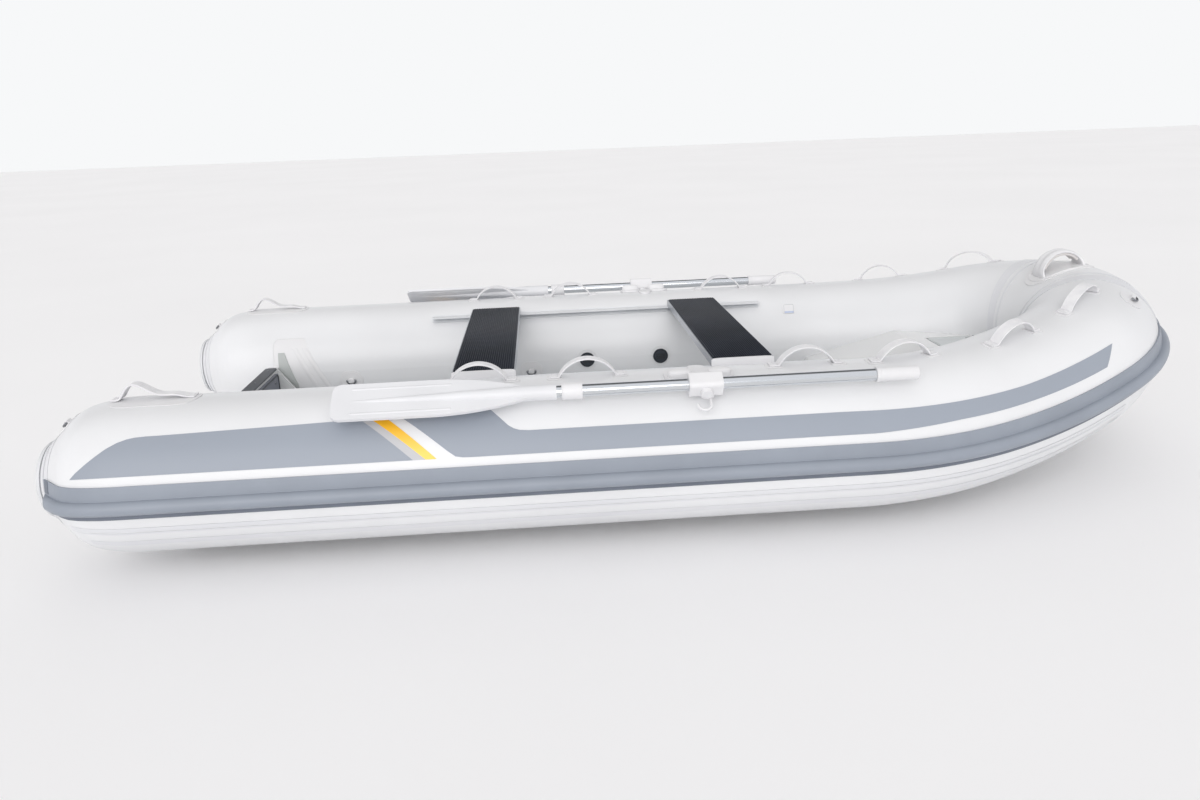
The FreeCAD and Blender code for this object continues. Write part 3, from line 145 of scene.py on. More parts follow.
def tail_line(t):
    """Radius, distance aft and slope of the tail's outline at a length t along it: straight, two arcs, cone."""
    radius, aft, slope = np.full(t.shape, TUBE_RADIUS), t.copy(), np.zeros(t.shape)
    centre_r, centre_a, angle, start, last = TUBE_RADIUS, TAIL_STRAIGHT, 0.0, TAIL_STRAIGHT, 0.0
    for arc_radius, turn in TAIL_ARCS:
        centre_r -= (arc_radius - last) * math.cos(angle)
        centre_a -= (arc_radius - last) * math.sin(angle)
        last = arc_radius
        here = t >= start
        bend = np.minimum(angle + (t - start) / arc_radius, angle + math.radians(turn))
        radius = np.where(here, centre_r + arc_radius * np.cos(bend), radius)
        aft = np.where(here, centre_a + arc_radius * np.sin(bend), aft)
        slope = np.where(here, bend, slope)
        start += arc_radius * math.radians(turn)
        angle += math.radians(turn)
    rest = np.maximum(t - start, 0)
    return radius - rest * math.sin(angle), aft + rest * math.cos(angle), slope


def skin(s, angle, lift=0.0):
    """Points on the starboard tube grown by lift. s is the distance forward of the tail join along the
    surface, negative on the tail; the angle is measured from the tube's top, outboard positive."""
    s, angle, lift = np.broadcast_arrays(np.asarray(s, float), angle, lift)
    turn = np.radians(angle)
    point, _, out, up = centreline(np.maximum(s, 0))
    normal = up * np.cos(turn)[..., None] + out * np.sin(turn)[..., None]
    body = point + normal * (TUBE_RADIUS + lift)[..., None]
    radius, aft, slope = tail_line(np.maximum(-s, 0))
    reach = radius + lift * np.cos(slope)
    tail = np.stack([TAIL_JOIN_X - aft - lift * np.sin(slope), -TUBE_SPREAD - reach * np.sin(turn),
                     TUBE_RISE + reach * np.cos(turn)], -1)
    return np.where((s < 0)[..., None], tail, body)


def tube_place(s, angle, height=0.0):
    """Origin and axes (forward, across to inboard, outward) at one place over the starboard tube."""
    point, along, out, up = centreline(s)
    turn = math.radians(angle)
    normal = up * math.cos(turn) + out * math.sin(turn)
    return point + normal * (TUBE_RADIUS + height), along, np.cross(normal, along), normal


def local(place, u, v, w):
    """Points at u forward, v across and w outward from a place."""
    u, v, w = np.broadcast_arrays(np.asarray(u, float), v, w)
    origin, along, across, normal = place
    return origin + u[..., None] * along + v[..., None] * across + w[..., None] * normal


def run_at(x):
    """Distance along the run at which the centreline passes an X."""
    s = np.linspace(0, NOSE_S, 4001)
    return float(np.interp(x, centreline(s)[0][:, 0], s))


# Closed blocks of points and faces


def circle(count):
    """Angles of even steps round a circle, in radians."""
    return np.linspace(0, 2 * math.pi, count, endpoint=False)


def superellipse(half_u, half_v, power, count=48):
    """Outline |u/a|^p + |v/b|^p = 1 as two arrays."""
    return [half * np.sign(wave) * np.abs(wave) ** (2 / power)
            for half, wave in ((half_u, np.cos(circle(count))), (half_v, np.sin(circle(count))))]


def grid_faces(index):
    """Four-sided faces between neighbouring rows and columns of a grid of point numbers."""
    return np.stack([index[:-1, :-1], index[1:, :-1], index[1:, 1:], index[:-1, 1:]], -1).reshape(-1, 4)


def outward(points, faces):
    """The block with its faces turned outwards, told by the sign of its volume."""
    triangles = points[faces[:, [0, 1, 2, 0, 2, 3]].reshape(-1, 3)]
    volume = np.einsum("ij,ij->i", triangles[:, 0], np.cross(triangles[:, 1], triangles[:, 2])).sum()
    return points, faces if volume > 0 else faces[:, ::-1]


def slab(upper, lower):
    """Closed sheet between two grids of points, with walls along its four edges."""
    rows, columns = upper.shape[:2]
    count = rows * columns
    index = np.arange(count).reshape(rows, columns)
    ring = np.concatenate([index[:, 0], index[-1, 1:], index[-2::-1, -1], index[0, -2:0:-1]])
    following = np.roll(ring, -1)
    walls = np.stack([following, ring, ring + count, following + count], -1)
    faces = np.concatenate([grid_faces(index), grid_faces(index)[:, ::-1] + count, walls])
    return outward(np.concatenate([upper.reshape(-1, 3), lower.reshape(-1, 3)]), faces)


def loft(rings, loop=False):
    """Closed skin over rings of points; the end rings are closed by flat fans unless the rings form a loop."""
    count, around = rings.shape[:2]
    index = np.arange(count * around).reshape(count, around)
    index = np.concatenate([index, index[:, :1]], 1)
    if loop:
        return outward(rings.reshape(-1, 3), grid_faces(np.concatenate([index, index[:1]])))
    points = np.concatenate([rings.reshape(-1, 3), rings[[0, -1]].mean(1)])
    fans = []
    for row, pole in ((index[0], count * around), (index[-1][::-1], count * around + 1)):
        middle = np.full(around, pole)
        fans.append(np.stack([middle, row[:-1], row[1:], middle], -1))
    return outward(points, np.concatenate([grid_faces(index)] + fans))


def rope(path, radius, sides=8, loop=False, guide=UP):
    """Round bar along a path: a ring of points square to the path at each of its points."""
    ahead = np.roll(path, -1, 0) - np.roll(path, 1, 0)
    if not loop:
        ahead[0], ahead[-1] = path[1] - path[0], path[-1] - path[-2]
    ahead = unit(ahead)
    side = unit(np.cross(ahead, guide))
    above = np.cross(side, ahead)
    turn = circle(sides)[:, None]
    return loft(path[:, None] + radius * (side[:, None] * np.cos(turn) + above[:, None] * np.sin(turn)), loop)


def lathe(profile, origin, axis, sides=32, ribs=0, rib_depth=0.0):
    """Turned shape: a ring about the axis for each (radius, height) pair; ribs flute the radius by a cosine."""
    radius, height = np.asarray(profile, float).T[..., None, None]
    axis = unit(np.asarray(axis, float))
    side = unit(np.cross(axis, FORWARD if abs(axis[0]) < 0.9 else UP))
    other = np.cross(axis, side)
    turn = circle(sides)
    flute = 1 + rib_depth * np.cos(turn * ribs)
    round_dir = side * np.cos(turn)[:, None] + other * np.sin(turn)[:, None]
    return loft(origin + radius * flute[:, None] * round_dir + height * axis)


def skin_band(s, angle, thick, base=FILM_BASE):
    """Closed strip on the tube over grids of distance and angle."""
    return slab(skin(s, angle, base + thick), skin(s, angle, base))


def skin_ring(x, angle, u, v, lift, wire, sides=6):
    """Cord on the tube through points u forward and v across from a place."""
    ring = skin(run_at(x) + u, angle + np.degrees(v / TUBE_RADIUS), lift)
    return rope(ring, wire, sides, loop=True, guide=tube_place(run_at(x), angle)[3])


def beads(centres, along, normal, half_length, half_width, height):
    """Stretched eight-sided beads, one for each row of centres: stitches, studs and non-skid bars."""
    side = np.cross(normal, along)
    offsets = [along * half_length, side * half_width, -along * half_length, -side * half_width,
               normal * height, -normal * height * 0.3]
    points = np.stack([centres + offset for offset in offsets], 1).reshape(-1, 3)
    one = np.array([[0, 1, 4, 0], [1, 2, 4, 1], [2, 3, 4, 2], [3, 0, 4, 3],
                    [1, 0, 5, 1], [2, 1, 5, 2], [3, 2, 5, 3], [0, 3, 5, 0]])
    return outward(points, (one + 6 * np.arange(len(centres))[:, None, None]).reshape(-1, 4))


def crossings(x, y, z):
    """Places where the lines of x and of y cross, at height z."""
    return np.stack(np.broadcast_arrays(x[:, None], y, z), -1).reshape(-1, 3)


def dome(origin, axis, radius, height, sides=14):
    """Low round screw head: a quarter of an ellipse turned about the axis."""
    turn = np.linspace(0, math.pi / 2, 5)[:-1]
    profile = [(radius * 0.98, -height * 0.2)] + [(radius * math.cos(t), height * math.sin(t)) for t in turn]
    return lathe(profile + [(radius * 0.08, height)], np.asarray(origin, float), axis, sides)


def rounded_loop(half_u, half_v, corner):
    """Rectangle whose corners are quarter circles, as two arrays."""
    turn = np.linspace(0, math.pi / 2, 6)
    quarters = []
    for number, (su, sv) in enumerate(((1, 1), (-1, 1), (-1, -1), (1, -1))):
        bend = turn + number * math.pi / 2
        quarters.append(np.stack([su * (half_u - corner) + corner * np.cos(bend),
                                  sv * (half_v - corner) + corner * np.sin(bend)]))
    return np.concatenate(quarters, 1)


def smooth_line(knots, steps):
    """Natural cubic spline through knots, with the chord length as its parameter."""
    knots = np.asarray(knots, float)
    gap = np.linalg.norm(np.diff(knots, axis=0), axis=1)
    at = np.concatenate([[0], np.cumsum(gap)])
    matrix, right = np.eye(len(knots)), np.zeros_like(knots)
    inner = np.arange(1, len(knots) - 1)
    matrix[inner, inner - 1], matrix[inner, inner] = gap[:-1], 2 * (gap[:-1] + gap[1:])
    matrix[inner, inner + 1] = gap[1:]
    right[1:-1] = 6 * np.diff(np.diff(knots, axis=0) / gap[:, None], axis=0)
    bend = np.linalg.solve(matrix, right)
    x = np.linspace(0, at[-1], steps)
    k = np.clip(np.searchsorted(at, x, side="right") - 1, 0, len(gap) - 1)
    a, b, h = (at[k + 1] - x)[:, None], (x - at[k])[:, None], gap[k][:, None]
    return sum(bend[i] * c ** 3 / 6 / h + (knots[i] / h - bend[i] * h / 6) * c for i, c in ((k, a), (k + 1, b)))


def mirrored(block):
    """The block on the other side of the centre plane."""
    points, faces = block
    return points * np.array([1.0, -1.0, 1.0]), faces[:, ::-1]


def by_side(blocks):
    """Each side's name with its blocks."""
    return ("starboard", list(blocks)), ("port", [mirrored(block) for block in blocks])


def both_sides(blocks):
    """The blocks and their mirror images."""
    return list(blocks) + by_side(blocks)[1][1]


def add_object(name, data):
    """New object at the origin, linked to the scene."""
    thing = bpy.data.objects.new(name, data)
    bpy.context.scene.collection.objects.link(thing)
    return thing


def make_piece(name, blocks, finish, body="boat", smooth=35.0):
    """One object from closed blocks, with its smooth shading split at sharp edges. A face whose last corner is
    its first one is a triangle."""
    points = np.concatenate([block[0] for block in blocks])
    starts = np.cumsum([0] + [len(block[0]) for block in blocks[:-1]])
    quads = np.concatenate([block[1] + start for block, start in zip(blocks, starts)])
    sizes = np.where(quads[:, 3] == quads[:, 0], 3, 4)
    keep = np.arange(4) < sizes[:, None]
    mesh = bpy.data.meshes.new(name)
    mesh.vertices.add(len(points))
    mesh.vertices.foreach_set("co", points.astype(np.float32).ravel())
    mesh.loops.add(int(sizes.sum()))
    mesh.loops.foreach_set("vertex_index", quads[keep].astype(np.int32))
    mesh.polygons.add(len(quads))
    mesh.polygons.foreach_set("loop_start", np.concatenate([[0], np.cumsum(sizes[:-1])]).astype(np.int32))
    mesh.update(calc_edges=True)
    mesh.validate()
    mesh.materials.append(FINISHES[finish])
    mesh.shade_smooth()
    mesh.set_sharp_from_angle(angle=math.radians(smooth))
    piece = add_object(name, mesh)
    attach(piece, body)
    return piece


# Materials


def add_node(tree, kind, inputs=None, **settings):
    """Adds a node with its settings. Each input gets a value, or a link from a (node, output) pair."""
    node = tree.nodes.new("ShaderNode" + kind)
    for key, value in settings.items():
        setattr(node, key, value)
    for key, value in (inputs or {}).items():
        if isinstance(value, tuple) and isinstance(value[0], bpy.types.Node):
            tree.links.new(value[0].outputs[value[1]], node.inputs[key])
        else:
            node.inputs[key].default_value = value
    return node


def calc(tree, operation, *terms):
    """Math node on values and (node, output) pairs."""
    return add_node(tree, "Math", dict(enumerate(terms)), operation=operation)


def noise(tree, coords, scale, detail=2.0):
    """Noise texture at a scale on the given coordinates."""
    return add_node(tree, "TexNoise", {"Scale": scale, "Detail": detail, "Vector": (coords, 0)})


def rgba(colour):
    """Value for a colour socket from an sRGB hex code or a linear colour."""
    return tuple(linear(colour) if isinstance(colour, str) else colour) + (1.0,)


def tones(colour, spread):
    """Darker and lighter tone of a linear colour, each off it by the given share."""
    return [tuple(channel * (1 + side * spread) for channel in colour) for side in (-1, 1)]


def new_material(name, **surface):
    """Empty material with its surface shader set; gives the material, tree and shader."""
    material = bpy.data.materials.new(name)
    material.use_nodes = True
    shader = material.node_tree.nodes["Principled BSDF"]
    for key, value in surface.items():
        shader.inputs[key.replace("_", " ")].default_value = value
    return material, material.node_tree, shader


def object_coords(tree, scale=(1.0, 1.0, 1.0)):
    """Object coordinates, scaled along each axis."""
    return add_node(tree, "Mapping", {"Scale": scale, "Vector": (add_node(tree, "TexCoord"), "Object")})


def paint(tree, shader, source, low, high, first=0.0, last=1.0):
    """Base colour that runs from one tone to the other as the source runs from the first to the last value."""
    ramp = add_node(tree, "ValToRGB", {"Fac": (source, 0)})
    for element, position, colour in zip(ramp.color_ramp.elements, (first, last), (low, high)):
        element.position, element.color = position, rgba(colour)
    tree.links.new(ramp.outputs[0], shader.inputs["Base Color"])


def raise_surface(tree, shader, height, strength, distance):
    """Raises the shaded surface by the value of a height's node."""
    bump = add_node(tree, "Bump", {"Strength": strength, "Distance": distance, "Height": (height, 0)})
    tree.links.new(bump.outputs[0], shader.inputs["Normal"])


def two_tone(name, low, high, scale, detail=3.0, relief=None, **surface):
    """Two tones mixed by soft noise. relief is the strength and depth of the raised surface and the function
    that adds its height's node, or None for the same noise."""
    material, tree, shader = new_material(name, **surface)
    coords = object_coords(tree)
    clouds = noise(tree, coords, scale, detail)
    paint(tree, shader, clouds, low, high, 0.35, 0.65)
    if relief:
        strength, distance, height = relief
        raise_surface(tree, shader, height(tree, coords) if height else clouds, strength, distance)
    return material


def weave_height(tree, coords, pitch):
    """Product of two sine waves at the thread pitch, one along each way of the cloth."""
    waves = [add_node(tree, "TexWave", {"Scale": math.pi / 10 / pitch, "Vector": (coords, 0)},
                      wave_type="BANDS", bands_direction=direction) for direction in ("X", "Z")]
    return calc(tree, "MULTIPLY", (waves[0], 1), (waves[1], 1))


def coated_fabric(name, low, high, roughness):
    """Coated polyester, calendered: a soft even gloss, faint cloudiness and slow waves of a taut skin."""
    def height(tree, coords):
        """Faint weave on broad slow waves."""
        return calc(tree, "MULTIPLY_ADD", (weave_height(tree, coords, 0.0035), 0), 0.03,
                    (noise(tree, coords, 5.0, 1.0), 0))
    return two_tone(name, low, high, 2.2, relief=(0.25, 0.004, height), Roughness=roughness, IOR=1.48,
                    Coat_Weight=0.15, Coat_Roughness=0.22)


def printed_film(name, low, high):
    """Printed vinyl film on the fabric: flat colour, a little smoother than the cloth, with slight mottling."""
    return two_tone(name, low, high, 1.5, 1.0, (0.08, 0.002, None), Roughness=0.38, IOR=1.47)


def film_with_painted_shade(name, top, bottom, top_z, bottom_z):
    """Film whose colour changes with height: painted shade that deepens the colour up the tube, where it turns
    away from the light.
    """
    material, tree, shader = new_material(name, Roughness=0.36, IOR=1.5)
    split = add_node(tree, "SeparateXYZ", {0: (add_node(tree, "TexCoord"), "Object")})
    spread = add_node(tree, "MapRange", {"From Min": bottom_z, "From Max": top_z, "Value": (split, 2)})
    paint(tree, shader, spread, bottom, top)
    return material


def moulded(name, low, high, roughness, grain=260.0, depth=0.12, mirror=0.5):
    """Moulded plastic: an even tone with a fine spark-eroded grain, drawn coarse enough to show."""
    relief = (depth, 0.0008, lambda tree, coords: noise(tree, coords, grain))
    return two_tone(name, low, high, 6.0, 1.0, relief, Roughness=roughness, IOR=1.49, Specular_IOR_Level=mirror)


def gelcoat(name, low, high):
    """Polyester gelcoat from a polished mould: clear gloss over white, with a trace of orange peel."""
    relief = (0.05, 0.001, lambda tree, coords: noise(tree, coords, 90.0, 1.0))
    return two_tone(name, low, high, 3.0, relief=relief, Roughness=0.22, IOR=1.52, Coat_Weight=0.5,
                    Coat_Roughness=0.08)


def extruded_rubber(name, low, high):
    """Extruded rubber: satin, with die lines along its length."""
    relief = (0.15, 0.001, lambda tree, coords: noise(tree, object_coords(tree, (0.6, 1.0, 60.0)), 4.0))
    return two_tone(name, low, high, 6.0, relief=relief, Roughness=0.42, IOR=1.51)


def webbing(name, low, high):
    """Woven polyester webbing: ribs across the tape, drawn at 3 mm so that they show."""
    relief = (0.5, 0.0008, lambda tree, coords: weave_height(tree, coords, 0.003))
    return two_tone(name, low, high, 40.0, relief=relief, Roughness=0.62, IOR=1.5, Sheen_Weight=0.25)


def drawn_metal(name, colour, roughness, stretch, depth=0.03):
    """Metal with fine marks along one way: drawn and anodised tube, or polished wire."""
    material, tree, shader = new_material(name, Metallic=1.0, Roughness=roughness, Base_Color=rgba(colour))
    lines = noise(tree, object_coords(tree, stretch), 40.0)
    limits = {"To Min": roughness * 0.85, "To Max": roughness * 1.2}
    spread = add_node(tree, "MapRange", {"Value": (lines, 0), **limits})
    tree.links.new(spread.outputs[0], shader.inputs["Roughness"])
    raise_surface(tree, shader, lines, depth, 0.0001)
    return material


FINISHES = {}


def make_finishes(colours):
    """Every finish on the boat, by the name that the pieces use."""
    FINISHES.update(
        tube=coated_fabric("tube_coated_fabric", *tones(colours.tube, 0.025), 0.34),
        tape=coated_fabric("seam_tape_fabric", "#DADBDF", "#DFE0E3", 0.38),
        patch=coated_fabric("patch_coated_fabric", "#E0E0E2", "#E5E5E6", 0.36),
        cap=moulded("end_cap_moulding", "#D0D2D5", "#D7D9DB", 0.4),
        panel=printed_film("side_panel_film", *tones(colours.panel, 0.03)),
        pale=printed_film("pale_stripe_film", "#BDBDC0", "#C2C2C5"),
        # Yellow stripe: deeper yellow at its top and lighter at its bottom, as painted shade.
        yellow=film_with_painted_shade("yellow_stripe_film", "#F7B50F", "#F9D45C", 0.44, 0.36),
        strake=extruded_rubber("strake_rubber", *tones(colours.strake, 0.038)),
        # The strake's lower lip takes a darker copy of the strake's rubber as painted shade; the aft end patch
        # shares it.
        strake_dark=extruded_rubber("strake_lip_shade_and_end_patch", "#666D79", "#6D7480"),
        gelcoat=gelcoat("white_gelcoat", "#DADBDC", "#E0E1E1"),
        deck=moulded("deck_gelcoat_moulded", "#C9CDCE", "#D1D5D6", 0.45, 120.0, 0.3),
        floor_panel=moulded("non_skid_moulded", "#BEC2C4", "#C7CBCD", 0.55, 160.0, 0.4),
        ear=moulded("grey_flange_moulding", "#B6BAB9", "#BDC1C0", 0.45),
        dark=moulded("dark_moulding", "#2B3037", "#343A42", 0.42),
        # Motor boards: a grey darkened to the shaded look of the transom's inner face, as painted shade.
        board=moulded("motor_board_painted_shade", "#70737D", "#797C86", 0.48),
        tread=moulded("tread_rubber_moulded", "#1B2029", "#222731", 0.46, 200.0, 0.2, 0.08),
        plank=drawn_metal("anodised_plank", "#B9BCC1", 0.32, (30.0, 0.5, 30.0)),
        shaft=drawn_metal("anodised_tube", "#D9DCDF", 0.15, (0.02, 3.0, 3.0), 0.001),
        steel=drawn_metal("polished_stainless", "#8E9094", 0.16, (8.0, 8.0, 8.0)),
        rail=moulded("white_rail_extrusion", "#DEE0E3", "#E3E5E8", 0.4),
        white=moulded("white_moulding", "#DFDFE1", "#E4E4E6", 0.38),
        blade=moulded("blade_moulding", "#DCDDE0", "#E1E2E5", 0.34, 90.0, 0.05),
        webbing=webbing("woven_webbing", "#DEDEE1", "#E6E6E8"),
        thread=webbing("bonded_thread", "#CDCDD1", "#D7D7DB"),
        grip=moulded("grip_rubber_moulding", "#CFCCCB", "#D7D4D3", 0.5),
        fold=moulded("bluish_clear_moulding", "#B4BFDA", "#BCC7E0", 0.3),
        black=moulded("black_moulding", "#15171A", "#1E2125", 0.4))


# The first words of the CAD nodes' names that take each finish
NODE_FINISH = {
    "tube": "tube_ tail_cone", "cap": "tail_cap", "strake": "rub_strake", "deck": "deck locker_lid",
    "gelcoat": "hull transom bow_locker", "floor_panel": "floor_panel", "dark": "transom_cap valves",
    "ear": "transom_ears", "board": "motor_pad", "steel": "locker_hinges locker_lid_hinges d_rings",
    "rail": "seat_rails", "tread": "thwart_tread", "plank": "thwart", "blade": "oar_blade",
    "shaft": "oar_shaft", "white": "oar_sleeve oar_grip rowlock bow_handle blank_plate",
    "webbing": "grab_straps carry_straps", "patch": "carry_pads strap_tabs bow_handle_pad ring_pads",
    "black": "drain_plug",
}


def finish_nodes():
    """Each carried-over part gets the finish whose words match the most of its name."""
    rules = {words: finish for finish, group in NODE_FINISH.items() for words in group.split()}
    for name, node in NODES.items():
        words = max((words for words in rules if name.startswith(words)), key=len)
        node.data.materials.clear()
        node.data.materials.append(FINISHES[rules[words]])


# Printed panels on the tubes' sides: distances and angles of their lower and upper edge

LOW_LINE = ([-0.2, 1.98, 2.2, 2.75, 3.0], [71.6, 71.4, 68.6, 68.3, 68.3])
TOP_LINE = ([-0.1662, -0.150, -0.1250, -0.0968, -0.0700, -0.0437, -0.020, 0.0, 0.03, 0.067, 0.30, 0.60, 0.9100,
             0.9267, 0.94, 0.985, 1.0, 1.0158, 1.04, 1.89, 2.425, 2.65, 2.80, 3.0],
            [71.4, 67.2, 62.0, 56.4, 51.4, 47.5, 45.2, 44.2, 43.7, 43.6, 41.9, 39.5, 36.0,
             35.9, 37.6, 50.4, 53.0, 54.4, 55.0, 54.6, 55.8, 54.8, 54.4, 54.4])
FORE_CORNER = ([0.822, 0.826, 0.834, 0.846, 0.866], [66.6, 68.4, 69.8, 70.9, 71.6])
# Distances of each slanting edge at the lower and at the upper line
AFT_EDGE, FORE_EDGE = (-0.1660, -0.1655), (2.7475, 2.8150)
SLANTS = ((0.7294, 0.5888), (0.7625, 0.6153), (0.7920, 0.6554), (0.8220, 0.6929))


def panel_patch(left, right, low=LOW_LINE, step=0.02):
    """Printed patch: each row runs from the left to the right edge, and each column from the low to the upper
    line."""
    breaks = np.concatenate([np.arange(0, 1, step / max(right[0] - left[0], step)), [1.0]])
    for line in (low, TOP_LINE):
        inside = (np.asarray(line[0]) - left[1]) / (right[1] - left[1])
        breaks = np.concatenate([breaks, inside[(inside > 0) & (inside < 1)]])
    u = np.unique(breaks.round(6))[:, None]
    v = np.linspace(0, 1, 14)
    s = (left[0] * (1 - v) + left[1] * v) * (1 - u) + (right[0] * (1 - v) + right[1] * v) * u
    return skin_band(s, np.interp(s, *low) * (1 - v) + np.interp(s, *TOP_LINE) * v, FILM_THICK)


def side_graphics():
    """Printed panels on each side: grey up to the slant, pale and yellow stripes, then grey to the bow."""
    rounded = [line[:1] + corner + line[1:] for line, corner in zip(LOW_LINE, FORE_CORNER)]
    grey = [panel_patch(AFT_EDGE, SLANTS[0]), panel_patch(SLANTS[3], FORE_EDGE, rounded)]
    make_piece("side_panels", both_sides(grey), "panel")
    for number, finish in enumerate(("pale", "yellow")):
        stripe = panel_patch(SLANTS[number], SLANTS[number + 1], step=0.01)
        make_piece(finish + "_stripes", both_sides([stripe]), finish)


# Seams

# Distance, width and thickness of each tape round the nose and round the tail
NOSE_TAPES = ((3.093, 0.010, 0.0016), (3.118, 0.040, 0.0010), (3.165, 0.010, 0.0012))
TAIL_TAPES = ((-0.318, 0.016, 0.0022), (-0.292, 0.022, 0.0010))
# Aft end, angle, width and thickness of each tape along the tube
LONG_TAPES = ((-0.20, 112.6, 0.014, 0.0014), (-0.20, 116.2, 0.006, 0.0008), (-0.16, 128.0, 0.022, 0.0008),
              (-0.05, -119.0, 0.024, 0.0008))


def ring_tape(s, width, thick, first=-180.0, last=180.0):
    """Tape round the tube: its surface over a band of distances, grown by the tape's thickness."""
    across = np.linspace(-width / 2, width / 2, 5)[:, None]
    return skin_band(s + across, np.linspace(first, last, 145), thick)


def long_tape(first, angle, width, thick):
    """Tape along the tube up to the nose: its surface over a band of angles, grown by the tape's thickness."""
    half, step = math.degrees(width / 2 / TUBE_RADIUS), 0.03
    return skin_band(np.arange(first, NOSE_START_S + step / 2, step)[:, None],
                     angle + np.linspace(-half, half, 5), thick)


def tube_seams():
    """Double tape round the nose, ridges along the tube's underside and the tapes at the tail."""
    tapes = [ring_tape(*tape, -128, 77) for tape in NOSE_TAPES] + [long_tape(*tape) for tape in LONG_TAPES]
    make_piece("seam_tapes", both_sides(tapes), "tape")
    make_piece("tail_seams", both_sides([ring_tape(*tape) for tape in TAIL_TAPES]), "tape")


def knee_patches():
    """Doubler on each tube's inner side, behind the transom knee: straight aft edge, round upper corner and a
    slanting fore edge under two raised ribbons; its edge is a chain of distances and angles."""
    aft_s, top, foot, fore_s, thick, ribbon_top = 0.022, -53.0, -112.0, 0.140, 0.0013, -64.0
    v = np.linspace(0, 1, 30)
    aft = aft_s + 0.022 * (1 - np.sqrt(1 - np.clip(1 - v / 0.1, 0, 1) ** 2))
    fore = fore_s + 0.095 * v
    blocks = [skin_band(aft + (fore - aft) * np.linspace(0, 1, 12)[:, None], top - 61 * v, thick)]
    corner = np.linspace(0, math.pi / 2, 9)
    edge_s = np.concatenate([np.full(10, aft_s), 0.046 - 0.024 * np.cos(corner), np.linspace(0.05, fore_s, 14)])
    edge_a = np.concatenate([np.linspace(foot, -61, 10), -60 + 7 * np.sin(corner), np.full(14, top)])
    blocks.append(rope(skin(edge_s, edge_a, FILM_BASE + thick), 0.0014, 6, guide=UP + FORWARD * 0.3))
    share = np.linspace(0, 1, 24)[:, None]
    half = np.linspace(-1, 1, 7) * 0.010
    crown = 0.0004 + 0.0018 * np.sqrt(1 - (half / 0.0101) ** 2)
    angle = ribbon_top + (foot - ribbon_top) * share
    for first, last in ((0.105, 0.190), (0.142, 0.236)):
        blocks.append(skin_band(first + (last - first) * share + half, angle, crown, 0.0012))
    make_piece("knee_patches", both_sides(blocks), "patch")


def cap_ridges():
    """Moulded rings on the end caps: flat ropes at growing radii on the dome."""
    low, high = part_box("tail_cap_starboard")
    edge, depth = (high.z - low.z) / 2, high.x - low.x - 0.006
    place = np.array([low.x + 0.0004, (low.y + high.y) / 2, (low.z + high.z) / 2]), -STARBOARD_OUT, UP, FORWARD
    blocks = []
    for share, wire in ((0.94, 0.0035), (0.72, 0.0022), (0.46, 0.0022), (0.2, 0.0022)):
        ring = local(place, *superellipse(edge * share, edge * share, 2, 64), depth * share ** 2)
        blocks.append(rope(ring, wire, loop=True, guide=FORWARD))
    make_piece("cap_ridges", both_sides(blocks), "cap")


# Strake


def strake_skin(s, height, lift):
    """Points on the strake grown by lift. Its section keeps its shape while it follows the tube's widest line,
    also round the tail, where it doesn't shrink with the tube."""
    s, height, lift = np.broadcast_arrays(np.asarray(s, float), height, lift)
    turn = math.pi / 2 - height / TUBE_RADIUS
    reach = TUBE_RADIUS + lift
    radius, aft, slope = tail_line(np.maximum(-s, 0))
    beyond = reach * np.sin(turn) - TUBE_RADIUS
    tail = np.stack([TAIL_JOIN_X - aft - beyond * np.sin(slope), -TUBE_SPREAD - radius - beyond * np.cos(slope),
                     TUBE_RISE + reach * np.cos(turn)], -1)
    return np.where((s < 0)[..., None], tail, skin(np.maximum(s, 0), np.degrees(turn), lift))


def strake_strip(s, span, lift, swell, inner):
    """Closed strip on the strake over a span of heights; its face swells by half a sine wave across it."""
    height = np.linspace(*span)
    outer = lift + swell * np.sin(np.linspace(0, math.pi, len(height)))
    return slab(strake_skin(s[:, None], height, outer), strake_skin(s[:, None], height, inner))


def strake_trim():
    """Lip under the strake in a darker copy of its rubber, as painted shade, a fine bead along its crease and a
    dark patch over its aft end.
    """
    band = 0.0056
    s = np.concatenate([np.arange(-0.282, 2.0, 0.03), np.linspace(2.0, NOSE_S, 60)])
    lip = strake_strip(s, (-0.0455, -0.029, 6), band, 0.0012, 0.0004)
    bead = strake_strip(s, (0.0062, 0.0102, 5), band, 0.0010, band - 0.001)
    patch = strake_strip(np.linspace(-0.2905, -0.268, 5), (0.0125, 0.0462, 8), band + 0.0009, 0.0, band - 0.001)
    make_piece("strake_lip", both_sides([lip, patch]), "strake_dark")
    make_piece("strake_bead", both_sides([bead]), "strake")


# Webbing: each grab strap's distance along the tube and angle round it, by group

GRAB_PLACES = {"aft": ((0.902, 0.0), (1.212, 0.0), (1.845, 0.0)),
               "fore": ((2.141, 3.0), (2.532, 12.0), (2.890, 10.0))}
ALL_PLACES = GRAB_PLACES["aft"] + GRAB_PLACES["fore"]
STRAP_SPAN, STRAP_WIDTH, STRAP_FOOT, STRAP_RISE, STRAP_THICK = 0.216, 0.032, 0.028, 0.052, 0.0036
STRAP_BASE, TAB_LENGTH, TAB_WIDTH, TAB_CORNER = 0.0026, 0.046, 0.050, 0.008
FEET = (-(STRAP_SPAN - STRAP_FOOT) / 2, (STRAP_SPAN - STRAP_FOOT) / 2)


